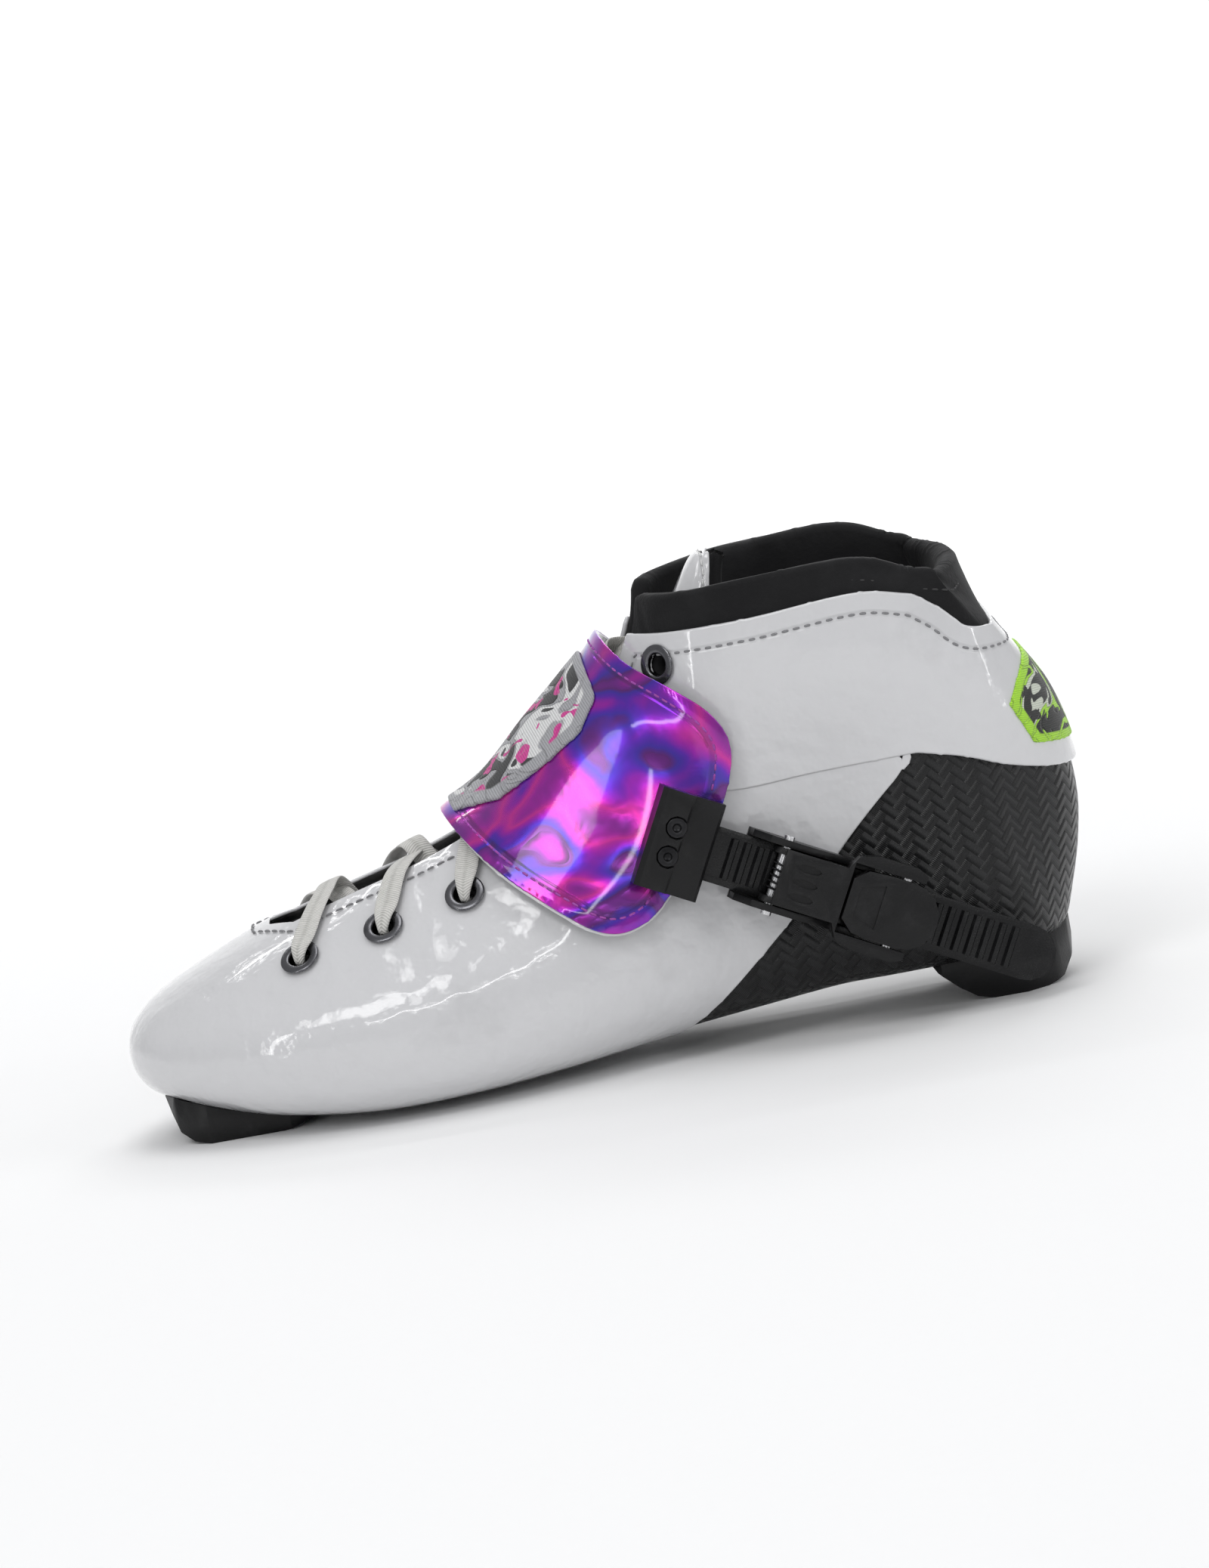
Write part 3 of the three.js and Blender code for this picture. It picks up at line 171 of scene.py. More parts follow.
def run_curve(points, steps):
    """Smooth line through points [x, z]: steps is the number of its parts."""
    p = np.array(points, float)
    q = np.vstack([2 * p[0] - p[1], p, 2 * p[-1] - p[-2]])
    knots = [0.0]
    for k in range(len(q) - 1):
        knots.append(knots[-1] + max(np.linalg.norm(q[k + 1] - q[k]) ** 0.5, 1e-6))
    result = []
    for u in np.linspace(0, len(p) - 1, steps + 1):
        k = min(int(u), len(p) - 2)
        t0, t1, t2, t3 = knots[k : k + 4]
        t = t1 + (t2 - t1) * (u - k)
        a1 = (t1 - t) / (t1 - t0) * q[k] + (t - t0) / (t1 - t0) * q[k + 1]
        a2 = (t2 - t) / (t2 - t1) * q[k + 1] + (t - t1) / (t2 - t1) * q[k + 2]
        a3 = (t3 - t) / (t3 - t2) * q[k + 2] + (t - t2) / (t3 - t2) * q[k + 3]
        b1 = (t2 - t) / (t2 - t0) * a1 + (t - t0) / (t2 - t0) * a2
        b2 = (t3 - t) / (t3 - t1) * a2 + (t - t1) / (t3 - t1) * a3
        result.append(((t2 - t) / (t2 - t1) * b1 + (t - t1) / (t2 - t1) * b2).tolist())
    return result


def depth(outline, x, z):
    """Distance inside a closed outline [x, z] of the side view, negative outside it."""
    pts = np.array(outline, float)
    nearest = np.full(np.shape(x), 1e9)
    inside = np.zeros(np.shape(x), bool)
    for (ax, az), (bx, bz) in zip(pts, np.roll(pts, -1, 0)):
        dx, dz = bx - ax, bz - az
        size = dx * dx + dz * dz
        if size < 1e-9:
            continue
        t = np.clip(((x - ax) * dx + (z - az) * dz) / size, 0, 1)
        nearest = np.minimum(nearest, np.hypot(x - ax - t * dx, z - az - t * dz))
        if abs(dz) > 1e-12:
            crosses = ((az > z) != (bz > z)) & (x < dx * (z - az) / dz + ax)
            inside ^= crosses
    return np.where(inside, nearest, -nearest)


# corners of the side view, all well clear of the boot
TOE_LOW, HEEL_LOW, TOE_HIGH, HEEL_HIGH = (-150, -6), (155, -6), (-150, 165), (155, 165)

COLOUR_LINE = run_curve([(15, 3), (30, 12), (45, 24), (60, 37), (76, 53), (87, 63), (96, 70.5)], 40)
CUFF_FOOT = (run_curve([(0, 96), (12, 84), (26, 75.5), (45, 71), (70, 71.5), (97, 72)], 40)
             + run_curve([(97, 72), (110, 68.5), (122, 63.5), (134, 60), (150, 58)], 16)[1:])
CUFF_TOP = (run_curve([(14, 113), (24, 114.5), (38, 115.5), (60, 116.5), (90, 118), (103, 115)], 30)
            + run_curve([(103, 115), (110, 109.5), (116, 103.5), (125, 101.5), (150, 101.5)], 24)[1:])
COLLAR_TOP = (run_curve([(16, 121), (28, 123.5), (45, 125), (70, 126.5), (92, 125.5), (104, 121)], 30)
              + run_curve([(104, 121), (112, 119), (118, 118), (150, 118)], 12)[1:])
STRAP_LATERAL = ([(-35, 82)]
                 + run_curve([(-32, 75), (-23, 64), (-15, 56), (-4, 46.5), (4, 41), (11, 39.5), (19, 42),
                              (26, 48)], 36)
                 + run_curve([(30, 53), (38, 60), (46, 72), (49, 84), (46, 92), (38, 100), (28, 107),
                              (22.5, 114)], 36)
                 + [(21, 121), (6, 130)])
STRAP_MEDIAL = ([(-35, 82)]
                + run_curve([(-32, 75), (-23, 64), (-14, 52), (-4, 37), (3, 23), (8, 18)], 26)
                + run_curve([(30, 18), (35, 24), (38, 42), (39, 62), (36, 84), (30, 102), (22.5, 114)], 26)
                + [(21, 121), (6, 130)])


def flipped(line, dx=0.0, dz=0.0):
    return [(x + dx, z + dz) for x, z in reversed(line)]


def crest_distance(p, s, turn):
    """Distance beside the ridge of the instep; far away on the lower half of a section."""
    ridge = last_points(s, np.full(np.shape(s), PI))[..., 1]
    return np.where(np.cos(turn) < 0.0, np.abs(p[..., 1] - ridge), 99.0)


def throat_width(s):
    """Half the width of the lacing gap, which opens from its lower end."""
    return THROAT_HALF * np.minimum(1, 0.45 + (s - THROAT_START) * 1.6)


def off_throat(p, s, turn):
    """Distance outside the lacing gap."""
    beside = crest_distance(p, s, turn) - throat_width(s)
    before = (THROAT_START - s) * SECTION_RUN
    return np.where(s < THROAT_START + 0.35, np.maximum(beside, before), beside)


# ------------------------------------------------------------------ sheets of leather and laminate
def stations(spacing):
    """Places along the last, at most a spacing apart on the sole and the crest."""
    rows = [0.0]
    for k in range(len(SECTIONS) - 1):
        a, b = SECTIONS[k], SECTIONS[k + 1]
        run = max(np.hypot(a[0] - b[0], a[1] - b[1]), np.hypot(a[2] - b[2], a[3] - b[3]))
        rows += list(k + np.linspace(0, 1, max(2, math.ceil(run / spacing)) + 1)[1:])
    return np.array(rows)


def net(spacing, columns):
    """Rows, turns and the grid of both over the whole last."""
    rows, turns = stations(spacing), np.linspace(0, 2 * PI, columns + 1)[:-1]
    return rows, turns, *np.meshgrid(rows, turns, indexing="ij")


def near_turn(turn, other):
    """The other turn, counted so that it's within half a turn of the first."""
    return other - 2 * PI if other - turn > PI else other + 2 * PI if turn - other > PI else other


def cut_sheet(inside, spacing, columns):
    """Faces of the part of the last where inside(points, s, turn) is positive, as params and loops."""
    sliver = 0.12
    _, _, s, turn = net(spacing, columns)
    field = inside(last_points(s, turn), s, turn)
    field = np.where(np.abs(field) < sliver, sliver, field)
    count = s.size
    params = np.stack([s.ravel(), turn.ravel()], 1)
    index = np.arange(count).reshape(s.shape)
    a, b = index[:-1], index[1:]
    quads = np.stack([a, np.roll(a, -1, 1), np.roll(b, -1, 1), b], -1).reshape(-1, 4)
    flat = field.ravel()
    good = flat > 0
    whole = good[quads].all(1)
    faces = [tuple(q) for q in quads[whole]]
    made, extra = {}, []
    for quad in quads[good[quads].any(1) & ~whole]:
        loop = []
        for k in range(4):
            p, q = int(quad[k]), int(quad[(k + 1) % 4])
            if good[p]:
                loop.append(p)
            if good[p] != good[q]:
                key = (min(p, q), max(p, q))
                if key not in made:
                    lo, hi = key
                    t = flat[lo] / (flat[lo] - flat[hi])
                    u, v = params[lo], params[hi].copy()
                    v[1] = near_turn(u[1], v[1])
                    made[key] = count + len(extra)
                    extra.append(u + (v - u) * t)
                loop.append(made[key])
        if len(loop) > 2:
            faces.append(tuple(loop))
    params = np.vstack([params] + extra)
    used = np.unique(np.concatenate([np.array(f) for f in faces]))
    renamed = np.full(len(params), -1)
    renamed[used] = np.arange(len(used))
    faces = [tuple(int(renamed[v]) for v in f) for f in faces]
    toe = [int(v) for v in renamed[index[0]]]
    return params[used], faces, toe


def wrap_place(p, normal):
    """Flat coordinates in mm for a weave: along the side and round the heel, and upwards."""
    heel, radius = 100, 34
    x, y, z = p[:, 0], p[:, 1], p[:, 2]
    angle = np.arctan2(np.abs(y), np.maximum(x - heel, 0))
    u = np.where(x < heel, x, heel + (PI / 2 - angle) * radius)
    u = np.where(y > 0, 307 - u, u)
    flat = np.abs(normal[:, 2]) > 0.85
    return np.stack([np.where(flat, x, u), np.where(flat, y + 400, z)], 1)


def link(name, mesh):
    """A new object in the scene."""
    piece = bpy.data.objects.new(name, mesh)
    bpy.context.scene.collection.objects.link(piece)
    return piece


def write_mesh(name, verts, faces, normals=None, edge=None, uv=None):
    """A mesh object from places in mm in the last's frame."""
    mesh = bpy.data.meshes.new(name)
    shift = np.array([-BOOT_MIDDLE, 0, 0])
    mesh.from_pydata(((np.asarray(verts) + shift) * MM).tolist(), [], faces)
    mesh.update()
    for poly in mesh.polygons:
        poly.use_smooth = True
    if edge is not None:
        mesh.attributes.new("edge", "FLOAT", "POINT").data.foreach_set("value", np.asarray(edge, np.float32))
    if uv is not None:
        layer = mesh.uv_layers.new(name="UVMap")
        corner = np.empty(len(mesh.loops), int)
        mesh.loops.foreach_get("vertex_index", corner)
        layer.data.foreach_set("uv", (np.asarray(uv) / UV_MM)[corner].astype(np.float32).ravel())
    if normals is not None:
        mesh.normals_split_custom_set_from_vertices(np.asarray(normals).tolist())
    return link(name, mesh)


def sheet_solid(name, inside, outer, inner, relief=None, spacing=1.7, columns=216, bulge=1.0,
                edge_of=None, lean=None):
    """A closed sheet between two distances from the last, with rounded edges.

    relief(points, edge, s, turn) adds to the outer side, lean(s) moves both sides, and edge_of stands
    for the area that the material measures its distance from the edge in."""
    params, faces, toe = cut_sheet(inside, spacing, columns)
    s, turn = params[:, 0], params[:, 1]
    edge = inside(last_points(s, turn), s, turn)

    def outside(s, turn):
        p = last_points(s, turn)
        lift = relief(p, inside(p, s, turn), s, turn) if relief else 0.0
        lift = lift + (lean(s) if lean else 0.0)
        return p + across(last_points, s, turn) * np.asarray(outer + lift)[..., None]

    base = across(last_points, s, turn)
    top = outside(s, turn)
    low = skin(s, turn, inner + (lean(s) if lean else np.zeros(s.shape)))
    top_normal = across(outside, s, turn) if relief or lean else base
    if edge_of:
        edge = edge_of(last_points(s, turn), s, turn)
    n = len(params)
    directed = {(a, b): True for f in faces for a, b in zip(f, f[1:] + f[:1])}
    rim = [e for e in directed if (e[1], e[0]) not in directed]
    closed_toe = min(toe) >= 0
    if closed_toe:
        rim = [e for e in rim if not {*e} <= {*toe}]
    out = np.zeros((n, 3))
    for a, b in rim:
        step = np.cross(top[b] - top[a], base[a])
        out[a] += step
        out[b] += step
    out = unit(out)
    middle, half = (top + low) / 2, (top - low) / 2
    verts, norms, edges = [top, low], [top_normal, -base], [edge, edge]
    ids = sorted({v for e in rim for v in e})
    place_of = {v: k for k, v in enumerate(ids)}
    size = np.linalg.norm(half[ids], axis=1, keepdims=True)
    rings = []
    for k in (1, 2, 3):
        a = PI * k / 4
        verts.append(middle[ids] + half[ids] * math.cos(a) + out[ids] * size * math.sin(a) * bulge)
        norms.append(unit(base[ids] * math.cos(a) + out[ids] * math.sin(a)))
        edges.append(edge[ids] if edge_of else np.zeros(len(ids)))
        rings.append(2 * n + (k - 1) * len(ids))
    all_faces = faces + [tuple(v + n for v in reversed(f)) for f in faces]
    for a, b in rim:
        down_a, down_b = ([v] + [r + place_of[v] for r in rings] + [v + n] for v in (a, b))
        all_faces += zip(down_b, down_a, down_a[1:], down_b[1:])
    if closed_toe:
        all_faces += [tuple(toe[::-1]), tuple(t + n for t in toe)]
    verts, norms = np.vstack(verts), np.vstack(norms)
    return write_mesh(name, verts, all_faces, norms, np.concatenate(edges), wrap_place(verts, norms))


# ------------------------------------------------------------------ shader maths
class Wire:
    """A socket of a material, with arithmetic that adds Math nodes."""

    def __init__(self, paint, socket):
        self.paint, self.socket = paint, socket

    def _math(self, operation, *values):
        return self.paint.node("ShaderNodeMath", {"operation": operation}, dict(enumerate(values)))

    def __add__(self, other):
        return self._math("ADD", self, other)

    def __radd__(self, other):
        return self._math("ADD", other, self)

    def __sub__(self, other):
        return self._math("SUBTRACT", self, other)

    def __rsub__(self, other):
        return self._math("SUBTRACT", other, self)

    def __mul__(self, other):
        return self._math("MULTIPLY", self, other)

    def above(self, other):
        return self._math("GREATER_THAN", self, other)

    def sine(self):
        return self._math("SINE", self)

    def wave(self):
        """A sine with one period to a unit."""
        return (self * 2 * PI).sine()

    def absolute(self):
        return self._math("ABSOLUTE", self)

    def part(self):
        return self._math("FRACT", self)

    def whole(self):
        return self._math("FLOOR", self)

    def spread(self, low, high):
        """0 below low, 1 above high, smooth between."""
        return self.paint.node("ShaderNodeMapRange", {"interpolation_type": "SMOOTHSTEP"},
                               {0: self, 1: low, 2: high, 3: 0.0, 4: 1.0})


class Paint:
    """A material being made: one Principled shader with its sockets."""

    def __init__(self, name):
        self.material = bpy.data.materials.new(name)
        self.material.use_nodes = True
        self.tree = self.material.node_tree
        self.shader = next(n for n in self.tree.nodes if n.type == "BSDF_PRINCIPLED")

    def node(self, kind, settings=None, values=None, output=0):
        made = self.tree.nodes.new(kind)
        for key, value in (settings or {}).items():
            if key == "stops":
                ramp = made.color_ramp
                while len(ramp.elements) > 1:
                    ramp.elements.remove(ramp.elements[-1])
                ramp.elements[0].position, ramp.elements[0].color = value[0][0], (*value[0][1], 1)
                for place, colour in value[1:]:
                    ramp.elements.new(place).color = (*colour, 1)
            else:
                setattr(made, key, value)
        for key, value in (values or {}).items():
            self.feed(made.inputs[key], value)
        return Wire(self, made.outputs[output])

    def feed(self, socket, value):
        if isinstance(value, Wire):
            self.tree.links.new(value.socket, socket)
        else:
            socket.default_value = value

    def place(self, size=1.0, turn=(0, 0, 0)):
        """Object coordinates in millimetres, divided by a size."""
        at = self.node("ShaderNodeTexCoord", output=3)
        scale = (1 / MM / size,) * 3
        return self.node("ShaderNodeMapping", {}, {"Vector": at, "Rotation": turn, "Scale": scale})

    def cloud(self, at, detail, rough=0.5, warp=0.0, scale=1.0):
        return self.node("ShaderNodeTexNoise", {}, {"Vector": at, "Scale": scale, "Detail": detail,
                                                    "Roughness": rough, "Distortion": warp})

    def noise(self, size, detail=2.0, rough=0.5, warp=0.0):
        """Noise whose patches are about a size in millimetres."""
        return self.cloud(self.place(size), detail, rough, warp)

    def shift(self, operation, at, by):
        return self.node("ShaderNodeVectorMath", {"operation": operation}, {0: at, 1: by})

    def split(self, vector):
        parts = self.tree.nodes.new("ShaderNodeSeparateXYZ")
        self.feed(parts.inputs[0], vector)
        return [Wire(self, part) for part in parts.outputs]

    def flat(self):
        """The piece's own U and V, in millimetres."""
        u, v, _ = self.split(self.node("ShaderNodeTexCoord", output=2))
        return u * UV_MM, v * UV_MM

    def edge(self):
        """Distance from the piece's edge, in millimetres."""
        return self.node("ShaderNodeAttribute", {"attribute_name": "edge"}, output=2)

    def groove(self, at, near, far):
        """1 along a line at a distance from the edge, 0 beside it."""
        return 1 - (self.edge() - at).absolute().spread(near, far)

    def mix(self, share, a, b):
        """Colour a where the share is 0, b where it is 1."""
        a, b = (c if isinstance(c, Wire) else (*c, 1) for c in (a, b))
        return self.node("ShaderNodeMix", {"data_type": "RGBA"}, {0: share, 6: a, 7: b}, output=2)

    def bumps(self, height, size):
        """Bump from a height of 0 to 1; size is its depth in millimetres."""
        return self.node("ShaderNodeBump", {}, {"Strength": 1.0, "Distance": size * MM, "Height": height})

    def finish(self, **sockets):
        for name, value in sockets.items():
            socket = self.shader.inputs[name.replace("_", " ")]
            if isinstance(value, tuple) and len(value) == 3:
                value = (*value, 1)
            self.feed(socket, value)
        return self.material


def patent(name, tint, groove_at):
    """Glossy coated leather: soft folds, fine pebble, a sewn groove beside the edge."""
    p = Paint(name)
    folds = p.noise(16, 2, 0.45, 0.6)
    ripples = p.noise(5.5, 2, 0.5)
    pebble = p.noise(0.7, 1, 0.5)
    scuffs = p.noise(30, 5, 0.62).spread(0.56, 0.72)
    groove = p.groove(groove_at, 0.25, 1.1)
    height = folds * 0.60 + ripples * 0.30 + pebble * 0.006 - groove * 0.16
    # The colour is darker in random scuffed patches, which is wear, and along the sewn groove beside the
    # edge, which is painted shade in the groove.
    dark = tuple(c * 0.80 for c in tint)
    colour = p.mix(scuffs * 0.35 + groove * 0.45, tint, dark)
    return p.finish(Base_Color=colour, Roughness=0.10 + scuffs * 0.10 + ripples * 0.05,
                    Coat_Weight=0.7, Coat_Roughness=0.03, Specular_IOR_Level=0.55,
                    Normal=p.bumps(height, 1.5))


def carbon_weave(name):
    """Clear-coated carbon fibre: a two over two twill at 45 degrees to the sole."""
    p = Paint(name)
    u, v = p.flat()
    tow, threads_in_tow = 2.4, 5
    a, b = (u + v) * (math.sqrt(0.5) / tow), (u - v) * (math.sqrt(0.5) / tow)
    over = ((a.whole() + b.whole()) * 0.25).part().above(0.49)
    height = over * (a.part() * 0.5).wave() + (1 - over) * (b.part() * 0.5).wave()
    threads = over * (b * threads_in_tow).wave() + (1 - over) * (a * threads_in_tow).wave()
    # The tows that run one way are painted lighter: the twill's checker, shown as painted sheen. Each tow's
    # crown and each thread are painted lighter and the dips between them darker, which is painted shade.
    shade = over * 0.55 + height * 0.35 + threads * 0.06
    colour = p.mix(shade, (0.0015, 0.0015, 0.0018), (0.012, 0.0123, 0.013))
    haze = p.noise(24, 3)
    return p.finish(Base_Color=colour, Roughness=0.24 + over * 0.10 + haze * 0.06,
                    Coat_Weight=0.12, Coat_Roughness=0.05, Specular_IOR_Level=0.28,
                    Normal=p.bumps(height * 0.9 + threads * 0.05, 0.45))


def woven(name, dark, light, size, deep):
    """Cloth: plain weave across the piece with slubs and a little fuzz."""
    p = Paint(name)
    x, y, z = p.split(p.place(size, (0.35, 0.2, 0.78)))
    grid = x.wave() * z.wave() * 0.5 + y.wave() * (x * 0.5).wave() * 0.3 + 0.5
    slub = p.noise(6, 4, 0.6)
    # The raised threads of the weave are painted lighter and the hollows between them darker, which is
    # painted shade; the slubs are the cloth's own uneven tone.
    return p.finish(Base_Color=p.mix(grid * 0.6 + slub * 0.5, dark, light), Roughness=0.85 + slub * 0.1,
                    Sheen_Weight=0.05, Sheen_Roughness=0.5, Normal=p.bumps(grid + slub * 0.6, deep))


def suede(name, dark, light):
    """Brushed microfibre with a soft nap and worn lighter places."""
    p = Paint(name)
    nap = p.noise(0.9, 3, 0.65)
    worn = p.noise(22, 4, 0.6).spread(0.42, 0.72)
    return p.finish(Base_Color=p.mix(nap * 0.5 + worn * 0.45, dark, light), Roughness=0.78 + nap * 0.15,
                    Sheen_Weight=0.06, Sheen_Roughness=0.4, Specular_IOR_Level=0.25,
                    Normal=p.bumps(nap * 0.35 + worn * 0.3, 0.5))


def braid(name, dark, light):
    """Flat tubular lace: chevrons of yarn along its length."""
    p = Paint(name)
    u, v = p.flat()
    side = (v - 0.5).absolute()
    yarn = (u * 1.35 + side * 3.2).wave() * 0.5 + 0.5
    core = 1 - side.spread(0.0, 0.12)
    fuzz = p.noise(1.5, 3, 0.6)
    # The grooves between the yarns and the crease down the middle of the lace are painted darker, which is
    # painted shade; the fuzz is the yarn's own uneven tone.
    return p.finish(Base_Color=p.mix(yarn * 0.55 + fuzz * 0.5 - core * 0.25, dark, light),
                    Roughness=0.82 + fuzz * 0.1, Sheen_Weight=0.2,
                    Normal=p.bumps(yarn * 0.7 + fuzz * 0.2 - core * 0.4, 0.22))


def thread(name, dark, light):
    """Twisted sewing thread."""
    p = Paint(name)
    fibre = p.noise(0.45, 3, 0.6)
    return p.finish(Base_Color=p.mix(fibre, dark, light), Roughness=0.6 + fibre * 0.2,
                    Normal=p.bumps(fibre, 0.12))


def metal(name, dark, light, rough, grain=0.5):
    """Plated metal with fine brushing and handling marks."""
    p = Paint(name)
    brush = p.cloud(p.shift("MULTIPLY", p.place(), (0.15, 1, 1)), 4, 0.65)
    marks = p.noise(7, 5, 0.6).spread(0.5, 0.75)
    return p.finish(Base_Color=p.mix(marks * 0.6 + brush * 0.3, light, dark), Metallic=1.0,
                    Roughness=rough + brush * 0.12 * grain + marks * 0.12,
                    Normal=p.bumps(brush * 0.3 + marks * 0.2, 0.06))


def moulded(name, dark, light, rough):
    """Injection-moulded plastic with a fine spark texture and rubbed corners."""
    p = Paint(name)
    spark = p.noise(0.55, 2, 0.5)
    rubbed = p.noise(9, 5, 0.65).spread(0.5, 0.8)
    return p.finish(Base_Color=p.mix(rubbed * 0.6 + spark * 0.15, dark, light),
                    Roughness=rough + spark * 0.10 - rubbed * 0.06, Specular_IOR_Level=0.30,
                    Normal=p.bumps(spark * 0.5 + rubbed * 0.3, 0.10))


def swirl_film(name):
    """Iridescent film under clear lacquer: bands of violet, magenta and blue that curl."""
    p = Paint(name)
    bend = p.noise(30, 1.2, 0.45, 1.5)
    fine = p.noise(11, 2, 0.5, 0.8)
    phase = (bend * 2.9 + fine * 0.30).part()
    colour = p.node("ShaderNodeValToRGB", {"stops": [
        (0.0, (0.20, 0.005, 0.30)), (0.18, (0.38, 0.005, 0.36)), (0.36, (0.60, 0.02, 0.32)),
        (0.52, (0.34, 0.005, 0.40)), (0.68, (0.11, 0.01, 0.46)), (0.80, (0.05, 0.02, 0.42)),
        (0.90, (0.12, 0.005, 0.20)), (1.0, (0.20, 0.005, 0.30))]}, {0: phase})
    sparkle = p.noise(1.4, 2, 0.5)
    ridge = (phase * 0.5).wave()
    groove = p.groove(4.2, 0.3, 1.2)
    # The colour is painted darker along the sewn groove and in the troughs between the ridges of the bands,
    # which is painted shade.
    shade = p.mix(groove * 0.35 + (1 - ridge) * 0.30, colour, (0.03, 0.005, 0.07))
    return p.finish(Base_Color=shade, Metallic=0.55 + ridge * 0.2, Roughness=0.17 + sparkle * 0.08,
                    Coat_Weight=0.8, Coat_Roughness=0.06,
                    Normal=p.bumps(ridge * 0.30 + fine * 0.35 - groove * 0.5, 0.6))


def embroidery(name, ground, threads, seed, scale, lean):
    """Satin stitches in flowing shapes on a dark ground, at a slant of lean rows to the mm."""
    p = Paint(name)
    moved = p.shift("ADD", p.place(scale), (seed, seed * 0.7, -seed))
    shape = p.cloud(moved, 1.5, warp=1.3)
    second = p.cloud(moved, 1.0, warp=0.8, scale=1.9)
    x, _, z = p.split(p.place())
    rows = ((x * lean[0] + z * lean[1]) * 2 * PI + shape * 9).sine() * 0.5 + 0.5
    first, last, fade = 0.44, 0.52, 0.012
    colour = ground
    for field, level, cloth in ((shape, first, threads[0]), (shape, last, threads[1]),
                                (shape, 0.60, ground), (second, 0.60, threads[2])):
        colour = p.mix(field.spread(level, level + fade), colour, cloth)
    border = 1 - p.edge().spread(1.5, 1.9)
    colour = p.mix(border, colour, threads[0])
    sunk = (shape - first).absolute().spread(0.0, 0.02) * (shape - last).absolute().spread(0.0, 0.02)
    # The troughs between the satin-stitch rows are painted darker towards black, which is painted shade
    # between the rows.
    shade = p.mix(0.25 - rows * 0.25, colour, (0, 0, 0))
    return p.finish(Base_Color=shade, Roughness=0.55 + rows * 0.2, Sheen_Weight=0.2,
                    Normal=p.bumps(rows * 0.35 + sunk * 0.8, 0.5))


# a finish's maker, then its colours from dark to light, or the names of colours that a user sets
FINISHES = {
    "white_patent": (patent, "leather", 5.0),
    "white_backing": (patent, "trim", 3.0),
    "carbon": (carbon_weave,),
    "black_microfibre": (suede, (0.003, 0.003, 0.0035), (0.016, 0.016, 0.017)),
    "black_lining": (woven, (0.004, 0.004, 0.005), (0.022, 0.022, 0.024), 1.5, 0.5),
    "lace_weave": (braid, "lace_shade", "lace"),
    "white_thread": (thread, (0.55, 0.55, 0.54), (0.85, 0.85, 0.84)),
    "grey_thread": (thread, (0.10, 0.10, 0.105), (0.30, 0.30, 0.31)),
    "black_thread": (thread, (0.006, 0.006, 0.007), (0.05, 0.05, 0.05)),
    "strap_thread": (thread, (0.16, 0.02, 0.20), (0.48, 0.10, 0.50)),
    "black_oxide": (metal, (0.012, 0.012, 0.013), (0.035, 0.035, 0.037), 0.32),
    "gunmetal": (metal, (0.05, 0.05, 0.055), (0.15, 0.15, 0.16), 0.20),
    "steel": (metal, (0.40, 0.40, 0.41), (0.68, 0.68, 0.69), 0.18),
    "nut_aluminium": (metal, (0.50, 0.50, 0.51), (0.74, 0.74, 0.75), 0.30, 1.0),
    "black_plastic": (moulded, (0.003, 0.003, 0.0034), (0.018, 0.018, 0.019), 0.30),
    "ladder_plastic": (moulded, (0.004, 0.004, 0.0045), (0.022, 0.022, 0.023), 0.24),
    "iridescent_film": (swirl_film,),
    "strap_embroidery": (embroidery, (0.012, 0.012, 0.014),
                         ((0.36, 0.36, 0.38), (0.72, 0.72, 0.72), (0.62, 0.03, 0.28)), 3.1, 15, (1.3, 0.6)),
    "heel_embroidery": (embroidery, (0.010, 0.011, 0.010),
                        ((0.42, 0.80, 0.04), (0.66, 0.70, 0.60), (0.02, 0.02, 0.02)), 8.4, 11, (0.2, 1.7)),
}


def sizes():
    """The sizes and colours of the boot that a user sets."""
    return bpy.context.scene.boot_sizes


def in_mm(length):
    return round(length / MM, 4)


LOOKS = {}


def look(name):
    """The finish of that name, made when it is first asked for."""
    if name not in LOOKS:
        maker, *values = FINISHES[name]
        LOOKS[name] = maker(name, *(tuple(getattr(sizes(), v)) if isinstance(v, str) else v for v in values))
    return LOOKS[name]


def dress(piece, finish_name, body="boot", replaces=()):
    """Gives a finished piece its material, its body and the CAD nodes that it stands for."""
    piece.data.materials.clear()
    piece.data.materials.append(look(finish_name))
    if replaces:
        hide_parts(*replaces)
    if body:
        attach(piece, body)
    return piece


# ------------------------------------------------------------------ areas of the last
# An area is a function of points, s and turn: the distance in mm inside its edge, negative outside.
def off_eyelets(p):
    """Distance outside the holes for the eyelets."""
    clear = np.full(p.shape[:-1], 99.0)
    for seat in EYELETS:
        away = p - seat["at"]
        along = away @ seat["out"]
        beside = np.sqrt(np.maximum((away**2).sum(-1) - along**2, 0))
        clear = np.where(np.abs(along) < 12, np.minimum(clear, beside - EYELET_HOLE), clear)
    return clear


def off_lacing(p, s, turn):
    """Distance outside the lacing gap and the holes for the eyelets."""
    return np.minimum(off_throat(p, s, turn), off_eyelets(p))


def under_line(line, p):
    """Distance below a top line of the side view, which stands higher on the inner side."""
    outline = [TOE_LOW, HEEL_LOW] + flipped(line) + [(line[0][0], TOE_HIGH[1]), TOE_HIGH]
    return depth(outline, p[..., 0], p[..., 2] - TOP_TILT * p[..., 1])


def vamp_area(p, s, turn):
    cuff = flipped([q for q in CUFF_FOOT if q[0] < 96], 0, -GAP)
    outline = [TOE_LOW] + COLOUR_LINE + [(97.2, 71.7)] + cuff + [(-20, TOE_HIGH[1]), TOE_HIGH]
    return np.minimum(depth(outline, p[..., 0], p[..., 2]), off_lacing(p, s, turn))


